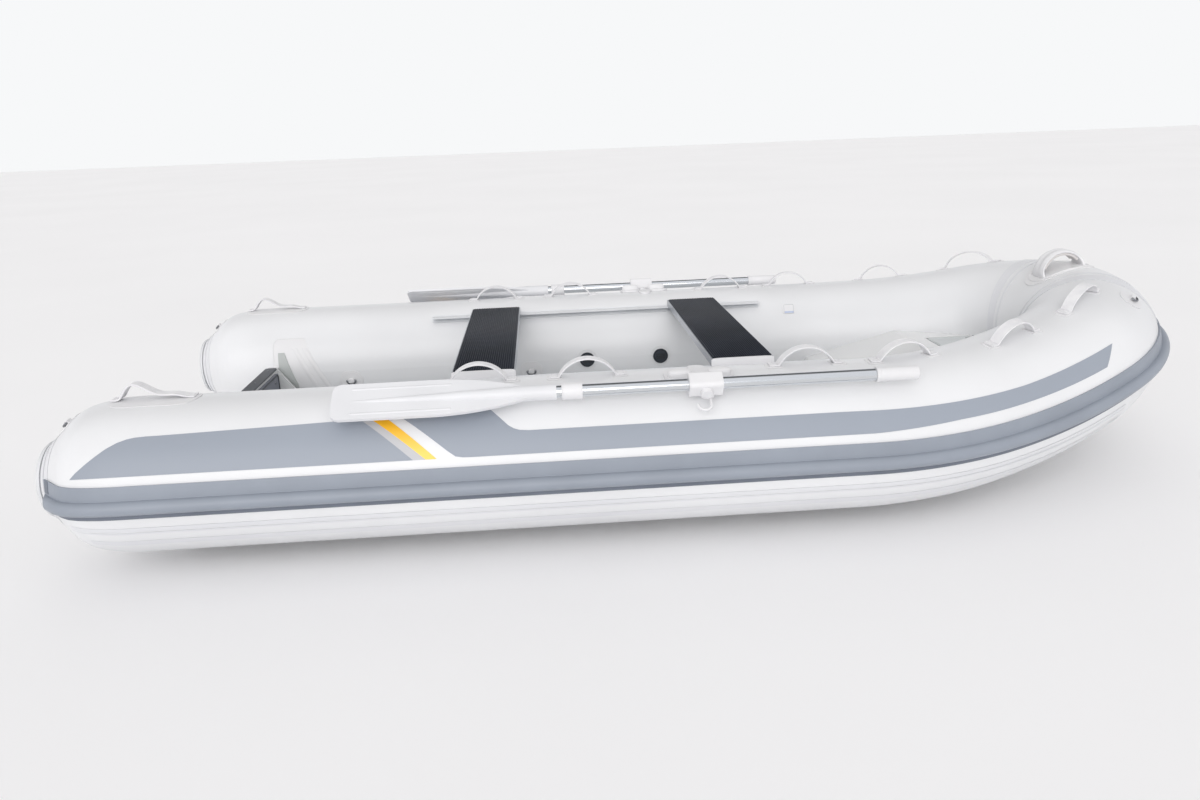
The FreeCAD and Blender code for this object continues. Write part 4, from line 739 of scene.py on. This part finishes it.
def strap_profile(level, inset=0.0):
    """Side view of a grab strap at one level of its thickness: a flat foot, an arc of a circle through the
    crown, and the other foot."""
    chord, crown = STRAP_SPAN / 2 - STRAP_FOOT + level / 2, STRAP_RISE - STRAP_THICK
    radius = (chord ** 2 + crown ** 2) / (2 * crown)
    turn = np.linspace(-1, 1, 33) * math.asin(chord / radius)
    foot = np.array([STRAP_SPAN / 2 - inset, STRAP_SPAN / 2 - STRAP_FOOT / 2])
    u = np.concatenate([-foot, radius * np.sin(turn), foot[::-1]])
    return u, STRAP_BASE + level + np.pad(crown - radius + radius * np.cos(turn), 2)


def strap_points(s, angle, u, v, w):
    """Points over the tube: u along it, v across it at full width and w above it, about one of its places."""
    return skin(s + u, angle + np.degrees(v / (TUBE_RADIUS + w)), w)


def grab_straps():
    """Arched webbing straps between two sheets of points, and a round-cornered tab under each foot."""
    sheets = [np.array(strap_profile(level))[..., None] for level in (STRAP_THICK, 0.0)]
    v = np.linspace(-STRAP_WIDTH / 2, STRAP_WIDTH / 2, 5)
    half = TAB_WIDTH / 2 - TAB_CORNER
    tab_v = np.concatenate([-half - TAB_CORNER * np.cos(np.linspace(0.06, math.pi / 2, 7)),
                            half + TAB_CORNER * np.sin(np.linspace(0, math.pi / 2 - 0.06, 7))])
    over = np.maximum(np.abs(tab_v) - half, 0)
    tab_half = TAB_LENGTH / 2 - TAB_CORNER + np.sqrt(TAB_CORNER ** 2 - over ** 2)
    tab_u = np.linspace(-1, 1, 9)[:, None] * tab_half
    tabs = [slab(*(strap_points(s + foot, angle, tab_u, tab_v, w) for w in (0.0022, FILM_BASE)))
            for s, angle in ALL_PLACES for foot in FEET]
    for group, places in GRAB_PLACES.items():
        straps = [slab(*(strap_points(s, angle, u, v, w) for u, w in sheets)) for s, angle in places]
        for name, blocks in by_side(straps):
            piece = make_piece("webbing_%s_%s" % (group, name), blocks, "webbing")
            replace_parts(piece, "grab_straps_%s_%s" % (group, name))
    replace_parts(make_piece("foot_tabs", both_sides(tabs), "patch"), "strap_tabs")


def box_stitch(place, middle_u=0.0):
    """Sewn box with a cross: a bead at each pitch along a chain of corners."""
    half_u, half_v, pitch, thread = 0.009, 0.012, 0.004, 0.0006
    _, along, across, normal = place
    u0, u1, v0, v1 = middle_u - half_u, middle_u + half_u, -half_v, half_v
    corners = ((u0, v0), (u1, v0), (u1, v1), (u0, v1), (u0, v0), (u1, v1), (u1, v0), (u0, v1))
    centres, ways = [], []
    for (u, v), (next_u, next_v) in zip(corners, corners[1:]):
        length = math.hypot(next_u - u, next_v - v)
        share = np.arange(0, length, pitch) / length + pitch / length / 2
        centres.append(local(place, u + (next_u - u) * share, v + (next_v - v) * share, 0.0))
        way = unit(along * (next_u - u) + across * (next_v - v))
        ways.append(np.broadcast_to(way, centres[-1].shape))
    return beads(np.concatenate(centres), np.concatenate(ways), normal, pitch * 0.42, thread, thread)


def strap_stitches():
    """A sewn box with a cross on both feet of every grab strap."""
    blocks = [box_stitch(tube_place(s + foot, angle, STRAP_BASE + STRAP_THICK)) for s, angle in ALL_PLACES
              for foot in FEET]
    make_piece("strap_stitches", both_sides(blocks), "thread")


def strap_edges():
    """Rolled edges of the grab straps: a cord along both sides, over the arch and out along the feet."""
    u, w = strap_profile(STRAP_THICK / 2, 0.003)
    blocks = [rope(strap_points(s, angle, u, side * STRAP_WIDTH / 2, w), 0.0025, guide=tube_place(s, angle)[2])
              for s, angle in ALL_PLACES for side in (-1, 1)]
    make_piece("strap_edges", both_sides(blocks), "webbing")


def carry_edges():
    """Rolled edges of the lifting handles over the tail joins: cords along a spline that rises, sags and comes
    down again, with a sewn box on each foot."""
    middle_x, span, rise, sag, foot, base = -1.445, 0.174, 0.046, 0.012, 0.026, 0.002
    aft, fore = -span / 2, span / 2
    knots = [(aft - foot, base), (aft - foot / 4, base + 0.001), (aft + span * 0.06, rise / 2),
             (aft + span * 0.2, rise - base), (aft + span * 0.42, rise * 0.62), (aft + span * 0.62, sag),
             (aft + span * 0.86, sag * 0.85), (fore + foot / 4, base + 0.001), (fore + foot, base)]
    u, w = smooth_line(knots, 60).T
    place = tube_place(run_at(middle_x), 0.0, STRAP_BASE)
    blocks = [rope(local(place, u, side * STRAP_WIDTH / 2, w), 0.0027, guide=place[2]) for side in (-1, 1)]
    sewn = tube_place(run_at(middle_x), 0.0, STRAP_BASE + 0.004)
    blocks += [box_stitch(sewn, end * (fore + foot / 2)) for end in (-1, 1)]
    make_piece("carry_edges", both_sides(blocks), "webbing")


# Bow handle


def bow_handle():
    """Moulded handle: a rounded oblong section follows an arch over the nose, wider at its feet, with two
    ridges along its outer face; section |x/w|^4 + |z/t|^4 = 1, and the ridges are a cosine of x. A softer
    layer lines it, and a welt runs round its pad."""
    half, rise, thick, wide, low, legs = 0.0735, 0.0575, 0.0045, 0.031, -0.0100, 5
    flare, ridge_height, lining_half, pad_halves = 0.010, 0.0024, 0.0265, (0.074, 0.1115)
    radius = (half ** 2 + rise ** 2) / 2 / rise
    reach = math.acos((radius - rise) / radius)
    turn = np.linspace(-reach, reach, 49)
    drop = np.linspace(low, -0.001, legs)
    v = np.pad(radius * np.sin(turn), legs, constant_values=(-half, half))[:, None]
    w = np.concatenate([drop, rise - radius + radius * np.cos(turn), drop[::-1]])[:, None]
    lean = np.pad(turn, legs, constant_values=(-math.pi / 2, math.pi / 2))[:, None]
    share = np.clip(1 - (w - low) / 0.040, 0, 1)
    x, z = superellipse(1.0, 1.0, 4, 96)
    ridge = -ridge_height * np.cos(2 * math.pi * x) * (z > 0) * (np.abs(x) < 0.96)
    height = z * (thick + 0.0025 * share ** 2) + ridge * (1 - share)
    place = tube_place(NOSE_S, -5.0)
    rings = local(place, x * (wide + flare * share ** 2), v + height * np.sin(lean), w + height * np.cos(lean))
    cup_turn = np.linspace(-reach * 0.8, reach * 0.8, 33)[:, None]
    inner = radius - 0.0085 + z * (0.0035 + 0.0035 * x ** 2)
    cup = local(place, x * lining_half, inner * np.sin(cup_turn), rise - radius + inner * np.cos(cup_turn))
    piece = make_piece("bow_handle_moulding", [loft(rings)], "white", smooth=50.0)
    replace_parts(piece, "bow_handle")
    make_piece("bow_handle_grip", [loft(cup)], "grip", smooth=50.0)
    flat = local(place, *superellipse(*pad_halves, 2.0, 96), 0.0)
    arc = RUN[-1]
    spoke = flat - arc.centre
    spoke = spoke - arc.axis * (spoke @ arc.axis)[:, None]
    middle = arc.centre + unit(spoke) * arc.radius
    welt = middle + unit(flat - middle) * (TUBE_RADIUS + 0.0036)
    make_piece("bow_pad_welt", [rope(welt, 0.0022, loop=True, guide=place[3])], "patch")


# Thwarts, floor and fittings

FLAT_SPAN = np.array([-1, -0.9965, -0.993, 0, 0.993, 0.9965, 1])


def tread_sheets(pitch):
    """Ribbed sheet on each thwart: the height follows a flattened cosine of X, so that the ribs run across."""
    margin, corner, level, rib, end_gap, edge_drop = 0.003, 0.012, 0.0026, 0.0008, 0.004, 0.0014
    for name in ("aft", "fore"):
        low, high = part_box("thwart_" + name)
        middle, half_x = (low.x + high.x) / 2, (high.x - low.x) / 2 - margin
        count = int(round(2 * half_x / pitch))
        x = np.linspace(-half_x, half_x, count * 8 + 1)[:, None]
        wave = np.clip(1.6 * np.cos(x / half_x * math.pi * count), -1, 1)
        wave = np.where(np.abs(FLAT_SPAN) > 0.995, -1.0, wave)
        beyond = np.maximum(np.abs(x) - half_x + corner, 0)
        y = FLAT_SPAN * (high.y - end_gap - corner + np.sqrt(corner ** 2 - beyond ** 2))
        top = high.z + level + rib * wave - edge_drop * (np.abs(FLAT_SPAN) == 1)
        sheet = slab(*(np.stack(np.broadcast_arrays(middle + x, y, z), -1) for z in (top, high.z + 0.0001)))
        piece = make_piece("ribbed_tread_" + name, [sheet], "tread", "thwart_" + name, 50.0)
        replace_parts(piece, "thwart_tread_" + name)


def thwart_ends():
    """White end mouldings on the thwarts: rings |x/a|^8 + |z/b|^8 = 1 that narrow at the outer end."""
    overlap, margin, half_height, drop = 0.003, 0.0015, 0.0145, 0.0125
    steps = (np.array([0.0, 0.0015, 0.005, 0.0065])[:, None], np.array([1.0, 1.0, 1.0, 0.97])[:, None])
    for name in ("aft", "fore"):
        low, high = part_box("thwart_" + name)
        u, w = superellipse((high.x - low.x) / 2 + margin, half_height, 8)
        blocks = []
        for side in (-1, 1):
            y = side * (high.y - overlap + steps[0])
            ring = ((low.x + high.x) / 2 + u * steps[1], y, high.z - drop + w * steps[1])
            blocks.append(loft(np.stack(np.broadcast_arrays(*ring), -1)))
        make_piece("thwart_ends_" + name, blocks, "white", "thwart_" + name)


def floor_grip(pitch):
    """Raised lozenges in staggered rows on the floor panel, each row leaning the other way."""
    low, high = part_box("floor_panel")
    margin = 0.045
    x = np.arange(low.x + margin, high.x - margin, pitch)
    y = np.arange(0, high.y - margin, pitch)
    y = np.concatenate([-y[:0:-1], y])
    centres = crossings(x, y, high.z)
    lean = 1.0 - 2 * ((np.arange(len(x))[:, None] + np.arange(len(y))) % 2).reshape(-1, 1)
    along = math.sqrt(0.5) * (FORWARD - STARBOARD_OUT * lean)
    lozenges = beads(centres, along, UP, 0.0075, 0.0022, 0.0011)
    make_piece("floor_grip", [lozenges], "floor_panel", smooth=20.0)


# Radius and height of the turned shapes on a valve and on a rowlock
VALVE_CAP = ((0.0002, 0.0034), (0.0218, 0.0034), (0.0224, 0.0045), (0.0224, 0.0088), (0.0212, 0.0100),
             (0.0002, 0.0100))
VALVE_RIM = ((0.0002, 0.0030), (0.0296, 0.0030), (0.0302, 0.0038), (0.0296, 0.0048), (0.0262, 0.0050),
             (0.0258, 0.0040), (0.0002, 0.0040))
HOOK_HEAD = ((0.0002, -0.004), (0.0102, -0.004), (0.0106, 0.0030), (0.0096, 0.0042), (0.0076, 0.0044),
             (0.0070, 0.0036), (0.0002, 0.0036))
BOSS_HEAD = ((0.0002, 0.0155), (0.0122, 0.0155), (0.0122, 0.0166), (0.0108, 0.0178), (0.0060, 0.0186),
             (0.0002, 0.0188))


def valve_caps():
    """White welt, fluted cap and three finger bars over each valve: a round cord, two turned profiles, and
    straight cords whose ends lie on one circle."""
    angle, welt_radius, bar_reach = -91.0, 0.0405, 0.019
    caps, bars, welts = [], [], []
    for x in (-0.189, 0.109):
        place = tube_place(run_at(x), angle)
        caps.append(lathe(VALVE_CAP, place[0], place[3], 96, ribs=24, rib_depth=0.018))
        caps.append(lathe(VALVE_RIM, place[0], place[3], 64))
        for v in (-0.008, 0.0, 0.008):
            reach = math.sqrt(bar_reach ** 2 - v ** 2)
            bars.append(rope(local(place, np.linspace(-reach, reach, 8), v, 0.0100), 0.0019, guide=place[2]))
        welts.append(skin_ring(x, angle, *superellipse(welt_radius, welt_radius, 2, 64), 0.0008, 0.0012))
    make_piece("valve_caps", both_sides(caps), "dark")
    make_piece("valve_bars", both_sides(bars), "black")
    make_piece("valve_welts", both_sides(welts), "patch")


def plate_frame():
    """Rounded rim on the blank plate of the port tube, with a bluish fold along its lower edge."""
    x, angle = 0.673, -47.0
    u, v = rounded_loop(0.024, 0.020, 0.006)
    make_piece("plate_rim", [mirrored(skin_ring(x, angle, u, -v, 0.0028, 0.0013, 8))], "cap")
    across = np.linspace(-0.022, 0.022, 9)[:, None]
    down = np.linspace(0.0125, 0.0205, 5)
    fold = skin_band(run_at(x) + across, angle - np.degrees(down / TUBE_RADIUS), 0.0016, 0.0024)
    make_piece("plate_fold", [mirrored(fold)], "fold")


def ring_collars():
    """Round welt on each ring pad, inside its edge: a cord along a superellipse."""
    angle, outline = -100.0, superellipse(0.040, 0.032, 2.2, 56)
    blocks = [skin_ring(x, angle, *outline, 0.0024, 0.0009) for x in (-1.134, -0.416)]
    make_piece("ring_welts", both_sides(blocks), "patch")


def transom_fittings():
    """Bolts through the motor boards, a dark cord of painted edge shade round the inner board, screws in the
    cap and a bar on the plug.
    """
    low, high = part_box("motor_pad_inner")
    outer_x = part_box("motor_pad_outer")[0].x
    middle_z, bolt_z, bolt_size = (low.z + high.z) / 2, 0.075, (0.0075, 0.004)
    heads = []
    for y in (-0.32, -0.115, 0.115, 0.32):
        for z in (middle_z - bolt_z, middle_z + bolt_z):
            heads.append(dome((high.x, y, z), FORWARD, *bolt_size))
            if abs(y) < 0.2:
                heads.append(dome((outer_x, y, z), -FORWARD, *bolt_size))
    cap_low, cap_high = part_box("transom_cap")
    cap_x = (cap_low.x + cap_high.x) / 2
    heads += [dome((cap_x, y, cap_high.z), UP, 0.005, 0.002) for y in (-0.34, -0.17, 0.17, 0.34)]
    make_piece("transom_bolts", heads, "steel")
    # Dark cord round the inner board: painted shade at the board's bevelled edge.
    inset = 0.006
    y, z = rounded_loop(high.y - inset, (high.z - low.z) / 2 - inset, 0.01)
    ring = np.stack([np.full(y.shape, high.x), y, middle_z + z], -1)
    make_piece("board_edge_shade_cord", [rope(ring, 0.0028, loop=True, guide=FORWARD)], "dark")
    low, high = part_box("drain_plug")
    centre = np.array([low.x, 0.0, (low.z + high.z) / 2])
    bar = rope(centre + np.linspace(-0.011, 0.011, 6)[:, None] * STARBOARD_OUT, 0.003)
    make_piece("drain_bar", [bar], "black")


def locker_fittings():
    """Screws in the hinge leaves, a hem round the lid and raised grip on it."""
    low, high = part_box("locker_lid")
    hinge_x, screw_z, aside, inset, grip_pitch = 1.2575, 0.359, 0.019, 0.006, 0.013
    leaves = (("hinge_screws", hinge_x + aside, "boat"), ("lid_hinge_screws", hinge_x - aside, "locker_lid"))
    for name, x, body in leaves:
        heads = [dome((x, middle + y, screw_z), UP, 0.0034, 0.0014, 12)
                 for middle in (-0.08, 0.08) for y in (-0.02, 0.0, 0.02)]
        make_piece(name, heads, "steel", body)
    centre = np.array([(low.x + high.x) / 2, 0.0, high.z])
    u, v = rounded_loop((high.x - low.x) / 2 - inset, high.y - inset, 0.020)
    hem = rope(centre + np.stack([u, v, np.zeros(u.shape)], -1), 0.0016, loop=True)
    rows = crossings(np.arange(-0.018, 0.034, grip_pitch), np.arange(-0.117, 0.1171, grip_pitch), 0.0)
    grip = beads(centre + rows, -STARBOARD_OUT, UP, 0.0042, 0.0016, 0.0008)
    make_piece("lid_grip", [hem, grip], "deck", "locker_lid")


# Oars

ROWLOCK_X, ROWLOCK_ANGLE, OAR_HEIGHT = 0.075, 34.0, 0.046
COLLAR_RADIUS, COLLAR_PLACES = 0.0231, (-0.3885, -0.3375)
CLAMP_HALF_LENGTH, CLAMP_HALF_WIDTH = 0.0445, 0.0262
BOSS_ANGLE, LOBE_ANGLE, LOBE_ASIDE = 22.0, 15.0, 0.056
# Share of the outline and height of the rings of a lobe's pad
LOBE_LEVELS = ((0.97, 0.006), (1.0, 0.0100), (1.0, 0.0200), (0.93, 0.0250), (0.76, 0.0280), (0.4, 0.0295))


def oar_trim():
    """Collars on the sleeves: a cord along each circle."""
    place = tube_place(run_at(ROWLOCK_X), ROWLOCK_ANGLE, OAR_HEIGHT)
    v, w = superellipse(COLLAR_RADIUS, COLLAR_RADIUS, 2, 32)
    collars = [rope(local(place, u, v, w), 0.0014, loop=True, guide=place[1]) for u in COLLAR_PLACES]
    for name, blocks in by_side(collars):
        make_piece("sleeve_collars_" + name, blocks, "white", "oar_" + name)


def rowlock_trim():
    """Round head at the root of the clamp's hook, rims on the clamp, a head on the base's boss and a raised
    oval pad on each of the base's lobes."""
    place = tube_place(run_at(ROWLOCK_X), ROWLOCK_ANGLE, OAR_HEIGHT)
    clamp = [lathe(HOOK_HEAD, local(place, 0.012, -0.027, -0.0175), 0.4 * place[3] - place[2])]
    v, w = superellipse(CLAMP_HALF_WIDTH, CLAMP_HALF_WIDTH, 5, 56)
    for u in (-CLAMP_HALF_LENGTH, CLAMP_HALF_LENGTH):
        clamp.append(rope(local(place, u, v, w), 0.0015, loop=True, guide=place[1]))
    seat = tube_place(run_at(ROWLOCK_X), BOSS_ANGLE)
    base = [lathe(BOSS_HEAD, seat[0], seat[3])]
    u, v = superellipse(0.034, 0.016, 2.4)
    for aside in (-LOBE_ASIDE, LOBE_ASIDE):
        lobe = tube_place(run_at(ROWLOCK_X) + aside, LOBE_ANGLE)
        pad = [local(lobe, u * share, v * share, height) for share, height in LOBE_LEVELS]
        base.append(loft(np.stack(pad)))
    for (name, moving), (_, fixed) in zip(by_side(clamp), by_side(base)):
        make_piece("clamp_trim_" + name, moving, "white", "oar_" + name)
        make_piece("base_trim_" + name, fixed, "white")


# Stage

CAMERA_PLACE = (-0.3497, -3.1601, 1.1886)
CAMERA_AZIMUTH, CAMERA_ELEVATION, CAMERA_ROLL = -3.297, 16.930, -2.170
CAMERA_LENS, SENSOR_WIDTH, CLIP_END = 27.431, 36.0, 200.0
# Level of the surroundings and its falls with depth, to the sides and overhead; level that mirrors see, and
# its fall beyond the boat
WORLD_LEVEL, WORLD_DEPTH, WORLD_SIDES, WORLD_ABOVE = 1.20, 0.15, 0.58, 0.20
MIRROR_LEVEL, MIRROR_FALL = 0.96, 0.84
LAMP_DISTANCE = 8.0
# Each lamp's direction, angle, strength and colour
LAMPS = {"key_lamp": ((-0.3, -1.0, 0.36), 50.0, 1.16, "#FFFDFC"),
         "top_lamp": ((0.1, 0.1, 1.0), 90.0, 0.06, "#FFFFFF")}


def make_camera():
    """Camera at the photograph's place, turned by its azimuth from +Y, its elevation and its roll."""
    data = bpy.data.cameras.new("photo_camera")
    data.lens, data.sensor_width, data.sensor_fit = CAMERA_LENS, SENSOR_WIDTH, "HORIZONTAL"
    data.clip_end = CLIP_END
    camera = add_object("photo_camera", data)
    camera.matrix_world = Matrix.Translation(CAMERA_PLACE)
    for angle, axis in ((CAMERA_AZIMUTH, "Z"), (90.0 - CAMERA_ELEVATION, "X"), (CAMERA_ROLL, "Z")):
        camera.matrix_world = camera.matrix_world @ Matrix.Rotation(math.radians(angle), 4, axis)
    bpy.context.scene.camera = camera


def make_light(name, toward, angle, strength, colour):
    """Broad even lamp, as from a wide diffuser far away; toward points to it."""
    data = bpy.data.lights.new(name, "SUN")
    data.angle, data.energy, data.color = math.radians(angle), strength, linear(colour)
    light = add_object(name, data)
    light.location = Vector(toward).normalized() * LAMP_DISTANCE
    light.rotation_euler = Vector(toward).to_track_quat("Z", "Y").to_euler()


def make_world():
    """Pale surroundings, brighter on the camera's side and weaker overhead. Mirrors see them dark beyond the
    boat, which gives drawn tube its dark edge; the camera sees them near white."""
    world = bpy.data.worlds.new("studio")
    bpy.context.scene.world = world
    world.use_nodes = True
    tree = world.node_tree
    tree.nodes.clear()
    rays = add_node(tree, "LightPath")
    way = add_node(tree, "SeparateXYZ", {0: (add_node(tree, "TexCoord"), "Generated")})
    depth = calc(tree, "MULTIPLY_ADD", (way, 1), -WORLD_DEPTH, WORLD_LEVEL)
    soft = calc(tree, "MULTIPLY_ADD", (calc(tree, "ABSOLUTE", (way, 0)), 0), -WORLD_SIDES, (depth, 0))
    faded = calc(tree, "MULTIPLY_ADD", (way, 2), -WORLD_ABOVE, (soft, 0))
    beyond = add_node(tree, "MapRange", {"From Min": 0.1, "From Max": 0.35, "Value": (way, 1)})
    high = add_node(tree, "MapRange", {"From Min": 0.32, "From Max": 0.5, "Value": (way, 2)})
    dark = calc(tree, "MULTIPLY", (beyond, 0), (high, 0))
    hard = calc(tree, "MULTIPLY_ADD", (dark, 0), -MIRROR_FALL, MIRROR_LEVEL)
    skies = (("#FBFAFA", (faded, 0)), ("#F4F5F9", (hard, 0)), ("#F7F8F9", 1.0))
    lit, glossy, shown = (add_node(tree, "Background", {"Color": rgba(colour), "Strength": strength})
                          for colour, strength in skies)
    seen = add_node(tree, "MixShader", {0: (rays, "Is Glossy Ray"), 1: (lit, 0), 2: (glossy, 0)})
    mix = add_node(tree, "MixShader", {0: (rays, "Is Camera Ray"), 1: (seen, 0), 2: (shown, 0)})
    add_node(tree, "OutputWorld", {"Surface": (mix, 0)})


def make_floor():
    """Plain pale floor at the waterline."""
    reach = 40.0
    mesh = bpy.data.meshes.new("studio_floor")
    mesh.from_pydata([(-reach, -reach, 0), (reach, -reach, 0), (reach, reach, 0), (-reach, reach, 0)], [],
                     [(0, 1, 2, 3)])
    finish = two_tone("studio_floor", "#F6F6F7", "#F8F8F9", 0.4, Roughness=0.9, Specular_IOR_Level=0.1)
    mesh.materials.append(finish)
    floor = add_object("studio_floor", mesh)


def make_stage():
    """Camera, lamps, world and floor."""
    make_camera()
    for name, lamp in LAMPS.items():
        make_light(name, *lamp)
    make_world()
    make_floor()
    bpy.context.scene.view_settings.view_transform = "Standard"


# Settings and operators


class BoatColours(bpy.types.PropertyGroup):
    """Colours that a user would change."""
    tube: FloatVectorProperty(name="Tube", description="Colour of the tubes' coated fabric", size=3,
                              subtype="COLOR", default=linear("#E3E4E6"), min=0.0, max=1.0)
    panel: FloatVectorProperty(name="Side panel", description="Colour of the printed side panels", size=3,
                               subtype="COLOR", default=linear("#979EA9"), min=0.0, max=1.0)
    strake: FloatVectorProperty(name="Rub strake", description="Colour of the rub strake's rubber", size=3,
                                subtype="COLOR", default=linear("#9097A2"), min=0.0, max=1.0)


class BoatSizes(bpy.types.PropertyGroup):
    """Sizes that a user would change."""
    tread_pitch: FloatProperty(name="Tread pitch", default=0.0068, unit="LENGTH", min=0.004, max=0.03,
                               description="Distance between the ribs of a thwart's tread")
    grip_pitch: FloatProperty(name="Grip pitch", default=0.022, unit="LENGTH", min=0.016, max=0.08,
                              description="Distance between the lozenges of the floor's grip")


def run_steps(*steps):
    """Runs the steps in order and gives an operator's result."""
    for step in steps:
        step()
    return {"FINISHED"}


class BOAT_OT_stage(bpy.types.Operator):
    """Camera, lamps, world and floor"""
    bl_idname = "boat.stage"
    bl_label = "Stage"

    def execute(self, context):
        return run_steps(make_stage)


class BOAT_OT_finishes(bpy.types.Operator):
    """Materials, and a finish on every carried-over part"""
    bl_idname = "boat.finishes"
    bl_label = "Finishes"

    def execute(self, context):
        make_finishes(context.scene.boat_colours)
        return run_steps(finish_nodes)


class BOAT_OT_graphics(bpy.types.Operator):
    """Printed panels and stripes on the tubes"""
    bl_idname = "boat.graphics"
    bl_label = "Side graphics"

    def execute(self, context):
        return run_steps(side_graphics)


class BOAT_OT_seams(bpy.types.Operator):
    """Seam tapes, tail seams, knee patches and end cap ridges"""
    bl_idname = "boat.seams"
    bl_label = "Seams"

    def execute(self, context):
        return run_steps(tube_seams, knee_patches, cap_ridges)


class BOAT_OT_strake(bpy.types.Operator):
    """Lip, bead and end patches of the rub strake"""
    bl_idname = "boat.strake"
    bl_label = "Strake trim"

    def execute(self, context):
        return run_steps(strake_trim)


class BOAT_OT_webbing(bpy.types.Operator):
    """Grab straps with their tabs and stitches, and the rolled edges of all webbing"""
    bl_idname = "boat.webbing"
    bl_label = "Webbing"

    def execute(self, context):
        return run_steps(grab_straps, strap_stitches, strap_edges, carry_edges)


class BOAT_OT_bow_handle(bpy.types.Operator):
    """Moulded handle on the nose"""
    bl_idname = "boat.bow_handle"
    bl_label = "Bow handle"

    def execute(self, context):
        return run_steps(bow_handle)


class BOAT_OT_treads(bpy.types.Operator):
    """Ribbed treads and end mouldings of the thwarts, and the floor's raised grip"""
    bl_idname = "boat.treads"
    bl_label = "Treads and floor grip"

    def execute(self, context):
        sizes = context.scene.boat_sizes
        tread_sheets(sizes.tread_pitch)
        floor_grip(sizes.grip_pitch)
        return run_steps(thwart_ends)


class BOAT_OT_fittings(bpy.types.Operator):
    """Valve caps, plate rim, ring welts, transom and locker fittings"""
    bl_idname = "boat.fittings"
    bl_label = "Fittings"

    def execute(self, context):
        return run_steps(valve_caps, plate_frame, ring_collars, transom_fittings, locker_fittings)


class BOAT_OT_oars(bpy.types.Operator):
    """Trim of the oars and rowlocks"""
    bl_idname = "boat.oars"
    bl_label = "Oar trim"

    def execute(self, context):
        return run_steps(oar_trim, rowlock_trim)


STEPS = (BOAT_OT_finishes, BOAT_OT_graphics, BOAT_OT_seams, BOAT_OT_strake, BOAT_OT_webbing, BOAT_OT_bow_handle,
         BOAT_OT_treads, BOAT_OT_fittings, BOAT_OT_oars, BOAT_OT_stage)


class BOAT_PT_panel(bpy.types.Panel):
    """Lists the steps and settings"""
    bl_idname = "BOAT_PT_panel"
    bl_label = "Inflatable boat"
    bl_space_type = "VIEW_3D"
    bl_region_type = "UI"
    bl_category = "Boat"

    def draw(self, context):
        for step in STEPS:
            self.layout.operator(step.bl_idname)
        for name in ("tube", "panel", "strake"):
            self.layout.prop(context.scene.boat_colours, name)
        for name in ("tread_pitch", "grip_pitch"):
            self.layout.prop(context.scene.boat_sizes, name)


CLASSES = (BoatColours, BoatSizes) + STEPS + (BOAT_PT_panel,)


def register():
    """Registers the classes and puts their settings on the scene."""
    for item in CLASSES:
        bpy.utils.register_class(item)
    bpy.types.Scene.boat_colours = PointerProperty(type=BoatColours)
    bpy.types.Scene.boat_sizes = PointerProperty(type=BoatSizes)


def unregister():
    """Takes the settings and the classes away again."""
    del bpy.types.Scene.boat_sizes
    del bpy.types.Scene.boat_colours
    for item in reversed(CLASSES):
        bpy.utils.unregister_class(item)


def main():
    """Runs the steps in order."""
    register()
    bpy.ops.boat.finishes()
    bpy.ops.boat.graphics()
    bpy.ops.boat.seams()
    bpy.ops.boat.strake()
    bpy.ops.boat.webbing()
    bpy.ops.boat.bow_handle()
    bpy.ops.boat.treads()
    bpy.ops.boat.fittings()
    bpy.ops.boat.oars()
    bpy.ops.boat.stage()


if __name__ == "__main__":
    main()
